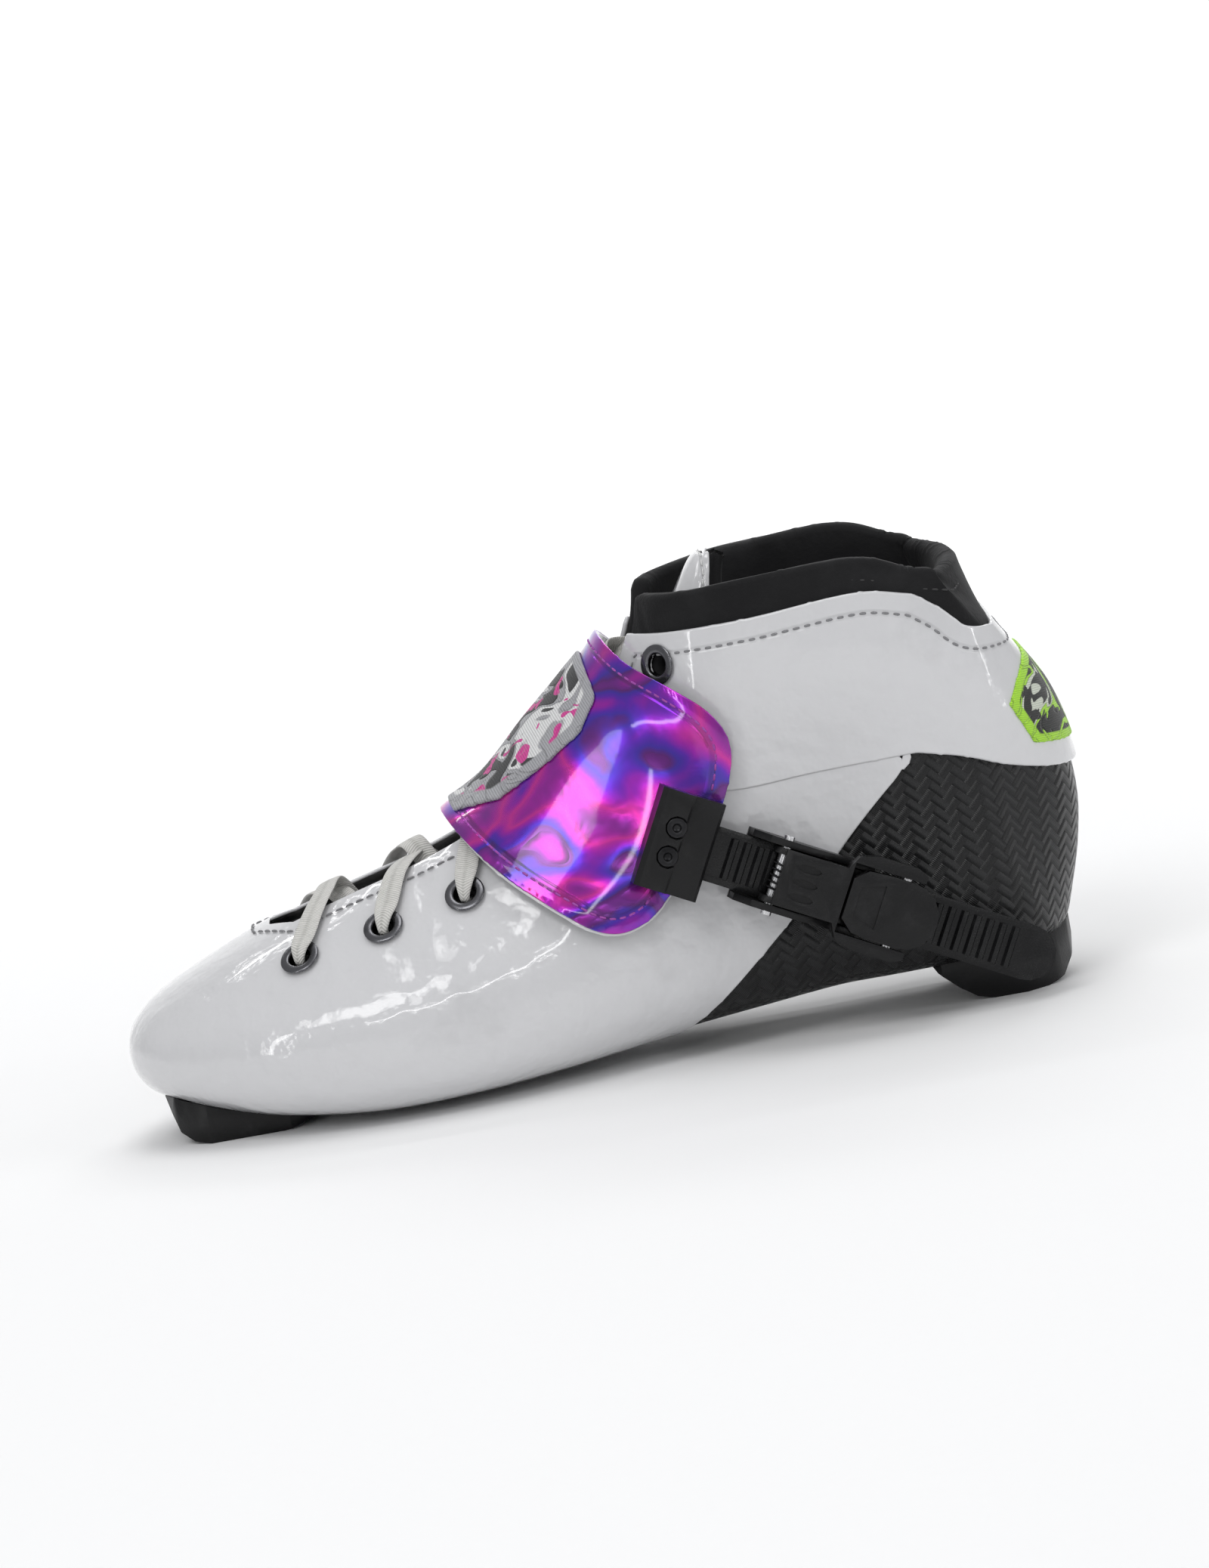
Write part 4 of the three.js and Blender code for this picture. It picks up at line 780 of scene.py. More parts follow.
def cuff_area(p, s, turn):
    band = depth(CUFF_FOOT + [HEEL_HIGH, (-20, HEEL_HIGH[1])], p[..., 0], p[..., 2])
    return np.minimum(np.minimum(band, under_line(CUFF_TOP, p)), off_lacing(p, s, turn))


def cuff_top_area(p, s, turn):
    """Distance below the cuff's top edge, kept off the throat."""
    return np.minimum(under_line(CUFF_TOP, p), off_throat(p, s, turn))


def far_inside(p, s, turn):
    return np.full(np.shape(s), 30.0)


def shell_area(p, s, turn):
    lap = 7  # the shell runs on under the leather
    line = flipped(COLOUR_LINE, -lap, lap)[:-6]
    outline = ([TOE_LOW, HEEL_LOW, (155, 62 + lap), (110, 68 + lap), (96, 71 + lap)] + line
               + [(0, 17), (-60, 15), (-104, 18), (-150, 22)])
    return depth(outline, p[..., 0], p[..., 2])


def collar_top_area(p, s, turn):
    return under_line(COLLAR_TOP, p)


def collar_area(p, s, turn):
    zone = p[..., 2] - COLLAR_FOOT
    return np.minimum(np.minimum(zone, under_line(COLLAR_TOP, p)), off_lacing(p, s, turn))


def lining_area(p, s, turn):
    return np.minimum(COLLAR_FOOT - GAP - p[..., 2], off_lacing(p, s, turn))


def strap_area(p, s, turn):
    """The strap's two outlines, changing from one to the other over the ridge of the instep."""
    x, z = p[..., 0], p[..., 2]
    lateral, medial = depth(STRAP_LATERAL, x, z), depth(STRAP_MEDIAL, x, z)
    area = lateral + (medial - lateral) * np.clip(p[..., 1] / 16 + 0.5, 0, 1)
    return np.where(np.cos(turn) > 0.75, np.minimum(area, -3.0), area)


def strap_backing_area(p, s, turn):
    """The pale backing shows below the film at the lower edge only."""
    return strap_area(p, s, turn) + 0.4 - 1.0 * np.clip((p[..., 2] - 58) / 14, 0, 1)


STRAP_PATCH = [(-25, 71), (-12, 74), (0, 81), (12, 89), (18, 97), (17, 109), (8, 122), (-30, 88)]
HEEL_PATCH = [(150, 63), (129, 67.5), (124, 79), (131, 91.5), (150, 96)]


def strap_patch_area(p, s, turn):
    return np.minimum(depth(STRAP_PATCH, p[..., 0], p[..., 2]), strap_area(p, s, turn) - STRAP_SEAM)


def heel_patch_area(p, s, turn):
    return depth(HEEL_PATCH, p[..., 0], p[..., 2])


def fold_back(s):
    """How far the tip of the tongue leans into the ankle opening."""
    return -13.0 * ease(np.clip((s - 11.3) / 2.2, 0, 1))


def tongue_area(p, s, turn):
    tip = (s - TONGUE_ROUND) / (TONGUE_END + 0.12 - TONGUE_ROUND)
    rounded = np.sqrt(np.maximum(1 - np.clip(tip, 0, 1) ** 5, 0))
    half = TONGUE_HALF * np.minimum(1, 0.5 + (s - TONGUE_START) * 0.7) * rounded
    ends = np.minimum((s - TONGUE_START) * SECTION_RUN, (TONGUE_END - s) * 14)
    return np.minimum(half - crest_distance(p, s, turn), ends)


def cover_area(p, s, turn):
    return tongue_area(p, s, turn) - 2.5


# ------------------------------------------------------------------ places on the last
def halve(low, high, too_low):
    """The place between low and high where too_low turns from true to false."""
    for _ in range(30):
        middle = (low + high) / 2
        low, high = (middle, high) if too_low(middle) else (low, middle)
    return low


def seat_on_top(x, beside, side):
    """Section and turn of a place on the instep, from its X and its distance beside the ridge."""
    def turn_at(s):
        ridge = last_points(s, PI)[1]
        return side * halve(PI / 2, PI, lambda t: abs(last_points(s, side * t)[1] - ridge) > beside)

    s = halve(0.0, 14.0, lambda s: last_points(s, turn_at(s))[0] < x)
    return s, turn_at(s)


EYELETS = []
EYELET_PAIRS = [(-74.5, 28), (-51, 29), (-28, 28.5), (-7, 27), (14, 25.5), (34, 24)]  # X, beside the ridge
for pair, (x, beside) in enumerate(EYELET_PAIRS):
    for side in (-1, 1):
        s, turn = seat_on_top(x, beside, side)
        EYELETS.append({"pair": pair, "side": side, "s": s, "turn": turn, "at": last_points(s, turn),
                        "out": across(last_points, np.array(s), np.array(turn))})


def eyelet(pair, side):
    return next(e for e in EYELETS if e["pair"] == pair and e["side"] == side)


# ------------------------------------------------------------------ lines that follow an edge
def contour(inside, level, spacing=2.2, columns=200):
    """Chains of (s, turn) where inside equals a level."""
    rows, turns, s, turn = net(spacing, columns)
    field = inside(last_points(s, turn), s, turn) - level
    field = np.where(np.abs(field) < 1e-6, 1e-6, field)
    links = {}

    def crossing(i, j, k, m):
        a, b = field[i, j], field[k, m]
        t = a / (a - b)
        return (rows[i] + (rows[k] - rows[i]) * t, turns[j] + (near_turn(turns[j], turns[m]) - turns[j]) * t)

    spots = {}
    signs = field > 0
    mixed = signs[:-1] ^ signs[1:]
    mixed |= signs[:-1] ^ np.roll(signs[:-1], -1, 1)
    mixed |= signs[1:] ^ np.roll(signs[1:], -1, 1)
    for i, j in zip(*np.nonzero(mixed)):
        m = (j + 1) % columns
        corners = [(i, j), (i, m), (i + 1, m), (i + 1, j)]
        keys = []
        for a, b in zip(corners, corners[1:] + corners[:1]):
            if signs[a] != signs[b]:
                key = (min(a, b), max(a, b))
                if key not in spots:
                    spots[key] = crossing(*key[0], *key[1])
                keys.append(key)
        for k in range(0, len(keys) - 1, 2):
            links.setdefault(keys[k], []).append(keys[k + 1])
            links.setdefault(keys[k + 1], []).append(keys[k])
    chains, seen = [], set()
    for start in sorted(links, key=lambda k: len(links[k])):
        if start in seen:
            continue
        chain, at = [start], start
        seen.add(start)
        while True:
            onward = [k for k in links[at] if k not in seen]
            if not onward:
                break
            at = onward[0]
            seen.add(at)
            chain.append(at)
        if len(chain) > 2 and start in links[at]:
            chain.append(start)
        chains.append(np.array([spots[k] for k in chain]))
    return chains


def run_of(points):
    """How far along a line of points each of them is."""
    return np.concatenate([[0], np.cumsum(np.linalg.norm(np.diff(points, axis=0), axis=1))])


def even_steps(chain, pitch, offset):
    """Places, directions and normals at an even pitch along a chain of (s, turn), in mm."""
    s, turn = chain[:, 0], np.unwrap(chain[:, 1])
    run = run_of(skin(s, turn, offset(s)))
    count = int(run[-1] / pitch)
    if count < 2:
        return None
    want = (np.arange(count) + 0.5) * run[-1] / count
    s, turn = np.interp(want, run, s), np.interp(want, run, turn)
    p = skin(s, turn, offset(s))
    return p, unit(np.gradient(p, axis=0)), across(last_points, s, turn)


def strands(inside, level, offset, pitch, keep=None):
    """Every place of a stitch row at one distance from the edge; keep(points) may leave some out."""
    lift = offset if callable(offset) else lambda s: np.full(len(s), offset)
    rows = [even_steps(chain, pitch, lift) for chain in contour(inside, level) if len(chain) > 6]
    row = [np.vstack(column) for column in zip(*(r for r in rows if r is not None))]
    good = keep(row[0]) if keep else slice(None)
    return [column[good] for column in row]


# ------------------------------------------------------------------ repeated shapes
def live(sockets, key):
    """The socket with that number, or the one in use with that name."""
    return sockets[key] if isinstance(key, int) else next(k for k in sockets if k.enabled and k.name == key)


def repeat_tree():
    """Geometry Nodes: a shape on every point, turned to its direction and normal, made real."""
    tree = bpy.data.node_groups.new("set_along_row", "GeometryNodeTree")
    for name, kind in (("Geometry", "Geometry"), ("Shape", "Object"), ("Length", "Float"),
                       ("Width", "Float"), ("Height", "Float"), ("Seed", "Int"), ("Unevenness", "Float"),
                       ("Finish", "Material")):
        tree.interface.new_socket(name, in_out="INPUT", socket_type="NodeSocket" + kind)
    tree.interface.new_socket("Geometry", in_out="OUTPUT", socket_type="NodeSocketGeometry")
    made = {key: tree.nodes.new(kind) for key, kind in (
        ("given", "NodeGroupInput"), ("result", "NodeGroupOutput"),
        ("step", "GeometryNodeInputNamedAttribute"), ("out", "GeometryNodeInputNamedAttribute"),
        ("along", "FunctionNodeAlignRotationToVector"), ("up", "FunctionNodeAlignRotationToVector"),
        ("info", "GeometryNodeObjectInfo"), ("place", "GeometryNodeInstanceOnPoints"),
        ("chance", "FunctionNodeRandomValue"), ("vary", "ShaderNodeMath"), ("share", "ShaderNodeMath"),
        ("grow", "ShaderNodeMath"), ("size", "ShaderNodeCombineXYZ"),
        ("real", "GeometryNodeRealizeInstances"), ("finish", "GeometryNodeSetMaterial"))}
    for key in ("step", "out"):
        made[key].data_type = "FLOAT_VECTOR"
        made[key].inputs["Name"].default_value = key
    made["along"].axis = "X"
    made["up"].axis, made["up"].pivot_axis = "Z", "X"
    made["chance"].data_type = "FLOAT"
    live(made["chance"].inputs, "Min").default_value = -1.0
    live(made["chance"].inputs, "Max").default_value = 1.0
    made["vary"].operation = made["grow"].operation = "MULTIPLY"
    made["share"].inputs[1].default_value = 1.0
    for start, output, end, taken in (
            ("step", "Attribute", "along", "Vector"), ("along", 0, "up", "Rotation"),
            ("out", "Attribute", "up", "Vector"), ("given", "Shape", "info", "Object"),
            ("given", "Geometry", "place", "Points"), ("info", "Geometry", "place", "Instance"),
            ("up", 0, "place", "Rotation"), ("given", "Seed", "chance", "Seed"),
            ("chance", "Value", "vary", 0), ("given", "Unevenness", "vary", 1), ("vary", 0, "share", 0),
            ("share", 0, "grow", 0), ("given", "Length", "grow", 1), ("grow", 0, "size", "X"),
            ("given", "Width", "size", "Y"), ("given", "Height", "size", "Z"), ("size", 0, "place", "Scale"),
            ("place", 0, "real", 0), ("real", 0, "finish", "Geometry"),
            ("given", "Finish", "finish", "Material"), ("finish", 0, "result", 0)):
        tree.links.new(live(made[start].outputs, output), live(made[end].inputs, taken))
    return tree


def repeat(name, shape, places, size, finish_name, unevenness=0.0, seed=7):
    """One plain mesh of a shape set at every place; size is its length, width and height in mm."""
    p, step, out = places
    mesh = bpy.data.meshes.new(name + "_points")
    mesh.from_pydata(((p - [BOOT_MIDDLE, 0, 0]) * MM).tolist(), [], [])
    for key, value in (("step", step), ("out", out)):
        layer = mesh.attributes.new(key, "FLOAT_VECTOR", "POINT")
        layer.data.foreach_set("vector", np.asarray(value, np.float32).ravel())
    source = link(name + "_points", mesh)
    tree = bpy.data.node_groups.get("set_along_row") or repeat_tree()
    rows = source.modifiers.new("rows", "NODES")
    rows.node_group = tree
    inputs = {i.name: i.identifier for i in tree.interface.items_tree
              if i.item_type == "SOCKET" and i.in_out == "INPUT"}
    values = {"Shape": shape, "Length": size[0] * MM, "Width": size[1] * MM, "Height": size[2] * MM,
              "Seed": seed, "Unevenness": unevenness, "Finish": look(finish_name)}
    for key, value in values.items():
        rows[inputs[key]] = value
    graph = bpy.context.evaluated_depsgraph_get()
    made = bpy.data.meshes.new_from_object(source.evaluated_get(graph))
    bpy.data.objects.remove(source)
    made.name = name
    return link(name, made)


def shape_object(name, verts, faces):
    """A shape to repeat, kept out of the scene."""
    mesh = bpy.data.meshes.new(name)
    mesh.from_pydata(verts, [], faces)
    shape = bmesh.new()
    shape.from_mesh(mesh)
    bmesh.ops.remove_doubles(shape, verts=shape.verts, dist=1e-6)
    bmesh.ops.dissolve_degenerate(shape, edges=shape.edges, dist=1e-6)
    face_out(shape, mesh)
    for poly in mesh.polygons:
        poly.use_smooth = True
    return bpy.data.objects.new(name, mesh)


def face_out(shape, mesh):
    """Writes a shape back to its mesh with every face pointing outwards."""
    bmesh.ops.recalc_face_normals(shape, faces=shape.faces)
    shape.to_mesh(mesh)
    shape.free()


def lathe(profile, sides):
    """Vertices and faces of a closed profile [radius, height] turned about Z."""
    n = len(profile)
    verts = [(r * math.cos(2 * PI * k / sides), r * math.sin(2 * PI * k / sides), h)
             for k in range(sides) for r, h in profile]
    faces = [(k * n + i, (k + 1) % sides * n + i, (k + 1) % sides * n + (i + 1) % n, k * n + (i + 1) % n)
             for k in range(sides) for i in range(n)]
    return verts, faces


def stitch_shape():
    """A short round-ended stitch that dips at both ends, one unit long."""
    rings, sides = 7, 6
    verts = []
    for k in range(rings):
        a = k / (rings - 1)
        end = (2 * a - 1) ** 4
        r = 0.5 * math.sqrt(max(1 - end, 0.02))
        for m in range(sides):
            b = 2 * PI * m / sides
            verts.append((a - 0.5, r * math.cos(b), r * math.sin(b) - end / 2))
    return shape_object("stitch", verts, tube_faces(rings, sides))


def tube_faces(rings, sides):
    """Faces of a tube of rings of points, closed at both ends."""
    faces = [(i * sides + k, i * sides + (k + 1) % sides, (i + 1) * sides + (k + 1) % sides,
              (i + 1) * sides + k) for i in range(rings - 1) for k in range(sides)]
    return faces + [tuple(range(sides))[::-1], tuple((rings - 1) * sides + k for k in range(sides))]


def sew(name, row, size, finish_name, unevenness=0.0, body="boot"):
    """A row of stitches at places that strands gives; size is one stitch's length, width and height."""
    needle = bpy.data.objects.get("stitch") or stitch_shape()
    return dress(repeat(name, needle, row, size, finish_name, unevenness), finish_name, body)


# ------------------------------------------------------------------ buckle frame of reference
LADDER_HEAD, LADDER_TAIL = np.array([32, -39.6, 59.5]), np.array([122, -34.6, 10.5])
BOOT_WALL = np.array([0, -1, 0.09])  # outwards from the wall of the boot, which leans in at the top
BUCKLE_ALONG = unit(LADDER_TAIL - LADDER_HEAD)
BUCKLE_OUT = unit(BOOT_WALL - BUCKLE_ALONG * (BOOT_WALL @ BUCKLE_ALONG))
BUCKLE_ACROSS = np.cross(BUCKLE_OUT, BUCKLE_ALONG)


def machined(node, finish_name, body, bevel, smooth_angle=32):
    """A piece moulded or turned to the CAD node's own shape, with its edges rounded off."""
    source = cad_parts[node]
    mesh = source.data.copy()
    mesh.name = node + "_finished"
    mesh.transform(source.matrix_world)
    shape = bmesh.new()
    shape.from_mesh(mesh)
    bmesh.ops.remove_doubles(shape, verts=shape.verts, dist=0.004 * MM)
    bmesh.ops.dissolve_limit(shape, angle_limit=math.radians(1.5), verts=shape.verts, edges=shape.edges)
    shape.to_mesh(mesh)
    shape.free()
    mesh.materials.clear()
    piece = link(node + "_finished", mesh)
    for poly in mesh.polygons:
        poly.use_smooth = True
    round_off = piece.modifiers.new("round_off", "BEVEL")
    round_off.width = bevel * MM
    round_off.segments = 2
    round_off.limit_method = "ANGLE"
    round_off.angle_limit = math.radians(smooth_angle)
    round_off.harden_normals = True
    round_off.use_clamp_overlap = True
    graph = bpy.context.evaluated_depsgraph_get()
    final = bpy.data.meshes.new_from_object(piece.evaluated_get(graph))
    piece.modifiers.clear()
    piece.data = final
    return dress(piece, finish_name, body, (node,))


def tube_mesh(name, route, normals, half_width, half_height, sides, power):
    """A closed ribbon or cord through points, with superellipse sections and its own U and V."""
    route = np.asarray(route, float)
    step = unit(np.gradient(route, axis=0))
    out = unit(normals - step * (normals * step).sum(1, keepdims=True))
    side = np.cross(step, out)
    n = len(route)
    width = np.broadcast_to(half_width, n)[:, None]
    height = np.broadcast_to(half_height, n)[:, None]
    rings = []
    for k in range(sides):
        a = 2 * PI * k / sides
        c, s = math.cos(a), math.sin(a)
        rings.append(route + side * width * (abs(c) ** (2 / power)) * np.sign(c)
                     + out * height * (abs(s) ** (2 / power)) * np.sign(s))
    verts = np.stack(rings, 1).reshape(-1, 3)
    beside = np.cos(2 * PI * np.arange(sides) / sides) * 0.5 + 0.5
    uv = np.stack(np.broadcast_arrays(run_of(route)[:, None], beside[None, :]), -1).reshape(-1, 2)
    piece = write_mesh(name, verts, tube_faces(n, sides), uv=uv)
    shape = bmesh.new()
    shape.from_mesh(piece.data)
    face_out(shape, piece.data)
    return piece


def smooth_route(points, count):
    """Even points along a smooth line through rows of numbers; the first three columns are the place."""
    p = np.asarray(points, float)
    q = np.vstack([2 * p[0] - p[1], p, 2 * p[-1] - p[-2]])
    fine = []
    for k in range(len(p) - 1):
        fine += [spline(*q[k : k + 4], t) for t in np.linspace(0, 1, 16, endpoint=False)]
    fine = np.array(fine + [p[-1]])
    run = run_of(fine[:, :3])
    want = np.linspace(0, run[-1], count)
    return np.stack([np.interp(want, run, fine[:, k]) for k in range(fine.shape[1])], 1)


# ------------------------------------------------------------------ the pieces
def make_carbon_shell():
    piece = sheet_solid("carbon_shell_laminate", shell_area, -UPPER_WALL - GAP, SHELL_IN)
    dress(piece, "carbon", "boot", ("carbon_shell",))


def crease(p, edge, s, turn):
    """Height of the soft folds in the patent leather, in mm."""
    x, y, z = p[..., 0], p[..., 1], p[..., 2]
    flex = np.exp(-(((x + 42) / 26) ** 2)) * np.clip(-np.cos(turn) + 0.2, 0, 1)
    waves = np.sin(x * 0.42 + 0.25 * z + 0.9 * np.sin(y * 0.11)) * 0.22 + np.sin(x * 0.9 - 0.3 * z) * 0.07
    ankle = np.exp(-(((x - 15) / 24) ** 2 + ((z - 62) / 22) ** 2)) * np.sin((x + z) * 0.3) * 0.18
    calm = np.clip(edge / 6, 0, 1)
    return (flex * waves + ankle) * calm


def make_upper():
    upper = sheet_solid("forefoot_upper_leather", vamp_area, 0.0, -UPPER_WALL, crease, edge_of=far_inside)
    dress(upper, "white_patent", "boot", ("forefoot_upper",))
    cuff = sheet_solid("ankle_cuff_leather", cuff_area, CUFF_OUT, -UPPER_WALL, crease, edge_of=cuff_top_area)
    dress(cuff, "white_patent", "boot", ("ankle_cuff",))
    row = strands(cuff_top_area, in_mm(sizes().cuff_seam), CUFF_OUT, in_mm(sizes().cuff_pitch))
    sew("upper_stitching", row, CUFF_STITCH, "grey_thread", unevenness=0.05)


def make_lining():
    collar = sheet_solid("collar_padding_foam", collar_area, -UPPER_WALL - GAP, COLLAR_IN,
                         spacing=1.9, columns=192, bulge=0.75)
    soften(collar, in_mm(sizes().foam_swell))
    dress(collar, "black_microfibre", "boot", ("collar_padding",))
    lining = sheet_solid("foot_lining_cloth", lining_area, LINING_OUT, LINING_IN, spacing=2.4, columns=168)
    dress(lining, "black_lining", "boot", ("foot_lining",))
    row = strands(collar_top_area, level=4.0, offset=0.05 - UPPER_WALL - GAP, pitch=2.8,
                  keep=lambda p: (p[:, 2] > 96) & (np.abs(p[:, 1]) > 14.5))
    sew("collar_stitching", row, FINE_STITCH, "black_thread")


def places_of(mesh):
    """The places of a mesh's vertices, one to a row."""
    places = np.empty(len(mesh.vertices) * 3)
    mesh.vertices.foreach_get("co", places)
    return places.reshape(-1, 3)


def soften(piece, most):
    """Swells a foam piece with cloth pressure, moving no point further than most, in mm."""
    frames, context = 20, bpy.context
    rest = places_of(piece.data)
    context.view_layer.objects.active = piece
    cloth = piece.modifiers.new("foam", "CLOTH")
    cloth.settings.use_pressure = True
    cloth.settings.uniform_pressure_force = 4.0
    cloth.settings.effector_weights.gravity = 0.0
    cloth.settings.quality = 4
    cloth.collision_settings.use_collision = False
    cloth.point_cache.frame_start, cloth.point_cache.frame_end = 1, frames
    for step in range(1, frames + 1):
        context.scene.frame_set(step)
    swollen = piece.evaluated_get(context.evaluated_depsgraph_get())
    move = places_of(swollen.to_mesh()) - rest
    swollen.to_mesh_clear()
    move *= np.minimum(1, most * MM / np.maximum(np.linalg.norm(move, axis=1, keepdims=True), 1e-9))
    piece.modifiers.clear()
    context.scene.frame_set(1)
    piece.data.vertices.foreach_set("co", (rest + move).ravel())
    piece.data.update()


def make_tongue():
    def puff(p, edge, s, turn):
        return 0.7 * (np.clip(edge / 5, 0, 1) ** 0.5) - 0.7

    outer = TONGUE_OUT - TONGUE_COVER - GAP
    tongue = sheet_solid("tongue_pad", tongue_area, outer, outer - TONGUE_PAD, puff,
                         spacing=1.8, columns=240, bulge=0.9, lean=fold_back)
    dress(tongue, "black_microfibre", "boot", ("tongue",))
    cover = sheet_solid("tongue_cover_leather", cover_area, TONGUE_OUT, TONGUE_OUT - TONGUE_COVER,
                        spacing=1.8, columns=240, lean=fold_back)
    dress(cover, "white_backing", "boot", ("tongue_cover",))
    row = strands(cover_area, level=3.0, offset=lambda s: TONGUE_OUT + 0.1 + fold_back(s), pitch=2.7)
    sew("tongue_stitching", row, FINE_STITCH, "white_thread")


def make_eyelets():
    wall = [(3.0, -1.8), (3.6, -1.8), (3.6, 0.7), (5.1, 0.7), (5.42, 0.78), (5.5, 0.95), (5.42, 1.1),
            (5.05, 1.24), (4.4, 1.32), (3.7, 1.3), (3.25, 1.16), (3.04, 0.9), (3.0, 0.6)]
    ring = shape_object("eyelet_ring", *lathe(wall, 36))
    places = [np.array(column) for column in zip(*(
        (e["at"], unit(last_points(e["s"] + 0.05, e["turn"]) - e["at"]), e["out"]) for e in EYELETS))]
    rings = repeat("eyelet_rings", ring, places, (1, 1, 1), "gunmetal")
    nodes = ["eyelet_%s_%d" % (side, k) for side in ("lateral", "medial") for k in range(1, 7)]
    dress(rings, "gunmetal", "boot", nodes)


def between(a, b, share, offset):
    """A place between two eyelets at a distance from the last, and the way that the lace faces there."""
    full = 2 * PI
    s = np.array([a["s"] + (b["s"] - a["s"]) * share])
    turn = np.array([a["turn"] % full + (b["turn"] % full - a["turn"] % full) * share])
    return [*skin(s, turn, offset)[0], *across(last_points, s, turn)[0]]


def make_lace():
    """The flat lace; each row of the route is a place, the way it faces and its half width."""
    wide, tucked = in_mm(sizes().lace_width) / 2, 1.25

    def crossing(a, b, middle):
        """Up through eyelet a, across the throat and under the leather to eyelet b."""
        rows = [(-0.002, LACE_UNDER + 1, 1.7), (-0.008, -3, tucked), (-0.014, -1, tucked),
                (-0.008, 0.9, 1.5), (0.03, LACE_OVER + 0.35, 2.4), (0.1, LACE_OVER + 0.1, wide),
                (0.25, LACE_OVER, wide), (0.38, (LACE_OVER + middle) / 2, wide), (0.5, middle, wide),
                (0.59, LACE_UNDER * 0.72, wide), (0.67, LACE_UNDER + 0.2, wide),
                (0.93, LACE_UNDER + 0.1, 2.4)]
        return [between(a, b, share, offset) + [width] for share, offset, width in rows]

    def half(side, middle):
        """One end of the lace, from the lowest pair of eyelets to the fifth."""
        rows = []
        for pair in range(5):
            first = side if pair % 2 == 0 else -side
            rows += crossing(eyelet(pair, first), eyelet(pair + 1, -first), middle)
        return rows[:-1]

    a, b = eyelet(0, -1), eyelet(0, 1)
    bar = [between(a, b, share, LACE_UNDER + 0.1) + [2.6] for share in (0.1, 0.25, 0.4, 0.6, 0.75, 0.9)]
    route = smooth_route(half(-1, 1.1)[::-1] + bar + half(1, -2.6), 1500)
    width = route[:, 6]
    height = np.interp(width, [1.2, wide], [1.15, 0.5])
    lace = tube_mesh("flat_lace", route[:, :3], unit(route[:, 3:6]), width, height, sides=18, power=2.6)
    dress(lace, "lace_weave", "boot", ("lace",))


def off_holder(p):
    """True on the outer side of the strap, clear of the plate that holds its end."""
    near = p - LADDER_HEAD
    along, beside = near @ BUCKLE_ALONG, np.abs(near @ BUCKLE_ACROSS)
    under = (-12 < along) & (along < 8) & (beside < 15) & (p[:, 1] < 0)
    return (p[:, 1] < 30) & ~under


def make_strap():
    outer = STRAP_LIFT + STRAP_WALL

    def rolled(p, edge, s, turn):
        return -0.35 * (1 - np.clip(edge / 2.2, 0, 1)) ** 2

    film = sheet_solid("instep_strap_film", strap_area, outer, STRAP_LIFT + 0.9, rolled,
                       spacing=1.5, columns=240)
    dress(film, "iridescent_film", None, ("instep_strap",))
    backing = sheet_solid("instep_strap_backing", strap_backing_area, STRAP_LIFT + 0.88, STRAP_LIFT,
                          spacing=1.5, columns=240)
    dress(backing, "white_backing", None)
    row = strands(strap_area, STRAP_SEAM, offset=outer + 0.05, pitch=2.7, keep=off_holder)
    seam = sew("strap_stitching", row, STRAP_STITCH, "strap_thread", unevenness=0.05, body=None)
    patch = sheet_solid("strap_patch_cloth", strap_patch_area, outer + GAP + PATCH_WALL, outer - 0.2,
                        spacing=1.3, columns=260)
    dress(patch, "strap_embroidery", None, ("strap_patch",))
    for piece in (film, backing, seam, patch):
        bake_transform(piece)


def make_rivets():
    for k in (1, 2):
        machined("strap_rivet_%d" % k, "steel", "boot", 0.3, smooth_angle=25)


def make_patches():
    patch = sheet_solid("heel_patch_cloth", heel_patch_area, GAP + PATCH_WALL, 0.12, spacing=1.2, columns=260)
    dress(patch, "heel_embroidery", "boot", ("heel_patch",))


def make_holder_screws():
    """Two round-headed screws with a socket, sunk in the holder."""
    turned = [(0.0, 0.1), (1.6, 0.1), (1.6, 6.4), (2.85, 6.4), (2.85, 7.35), (2.72, 7.6), (2.45, 7.7),
              (1.25, 7.7), (1.15, 7.6), (1.15, 6.9), (0.0, 6.9)]
    screw = shape_object("holder_screw", *lathe(turned, 28))
    at = np.array([LADDER_HEAD - BUCKLE_ALONG * 4.5 + BUCKLE_ACROSS * v for v in (-4, 4)])
    places = (at, np.array([BUCKLE_ALONG] * 2), np.array([BUCKLE_OUT] * 2))
    screws = repeat("holder_screws_turned", screw, places, (1, 1, 1), "black_oxide")
    dress(screws, "black_oxide", "ladder", ("holder_screw_1", "holder_screw_2"))


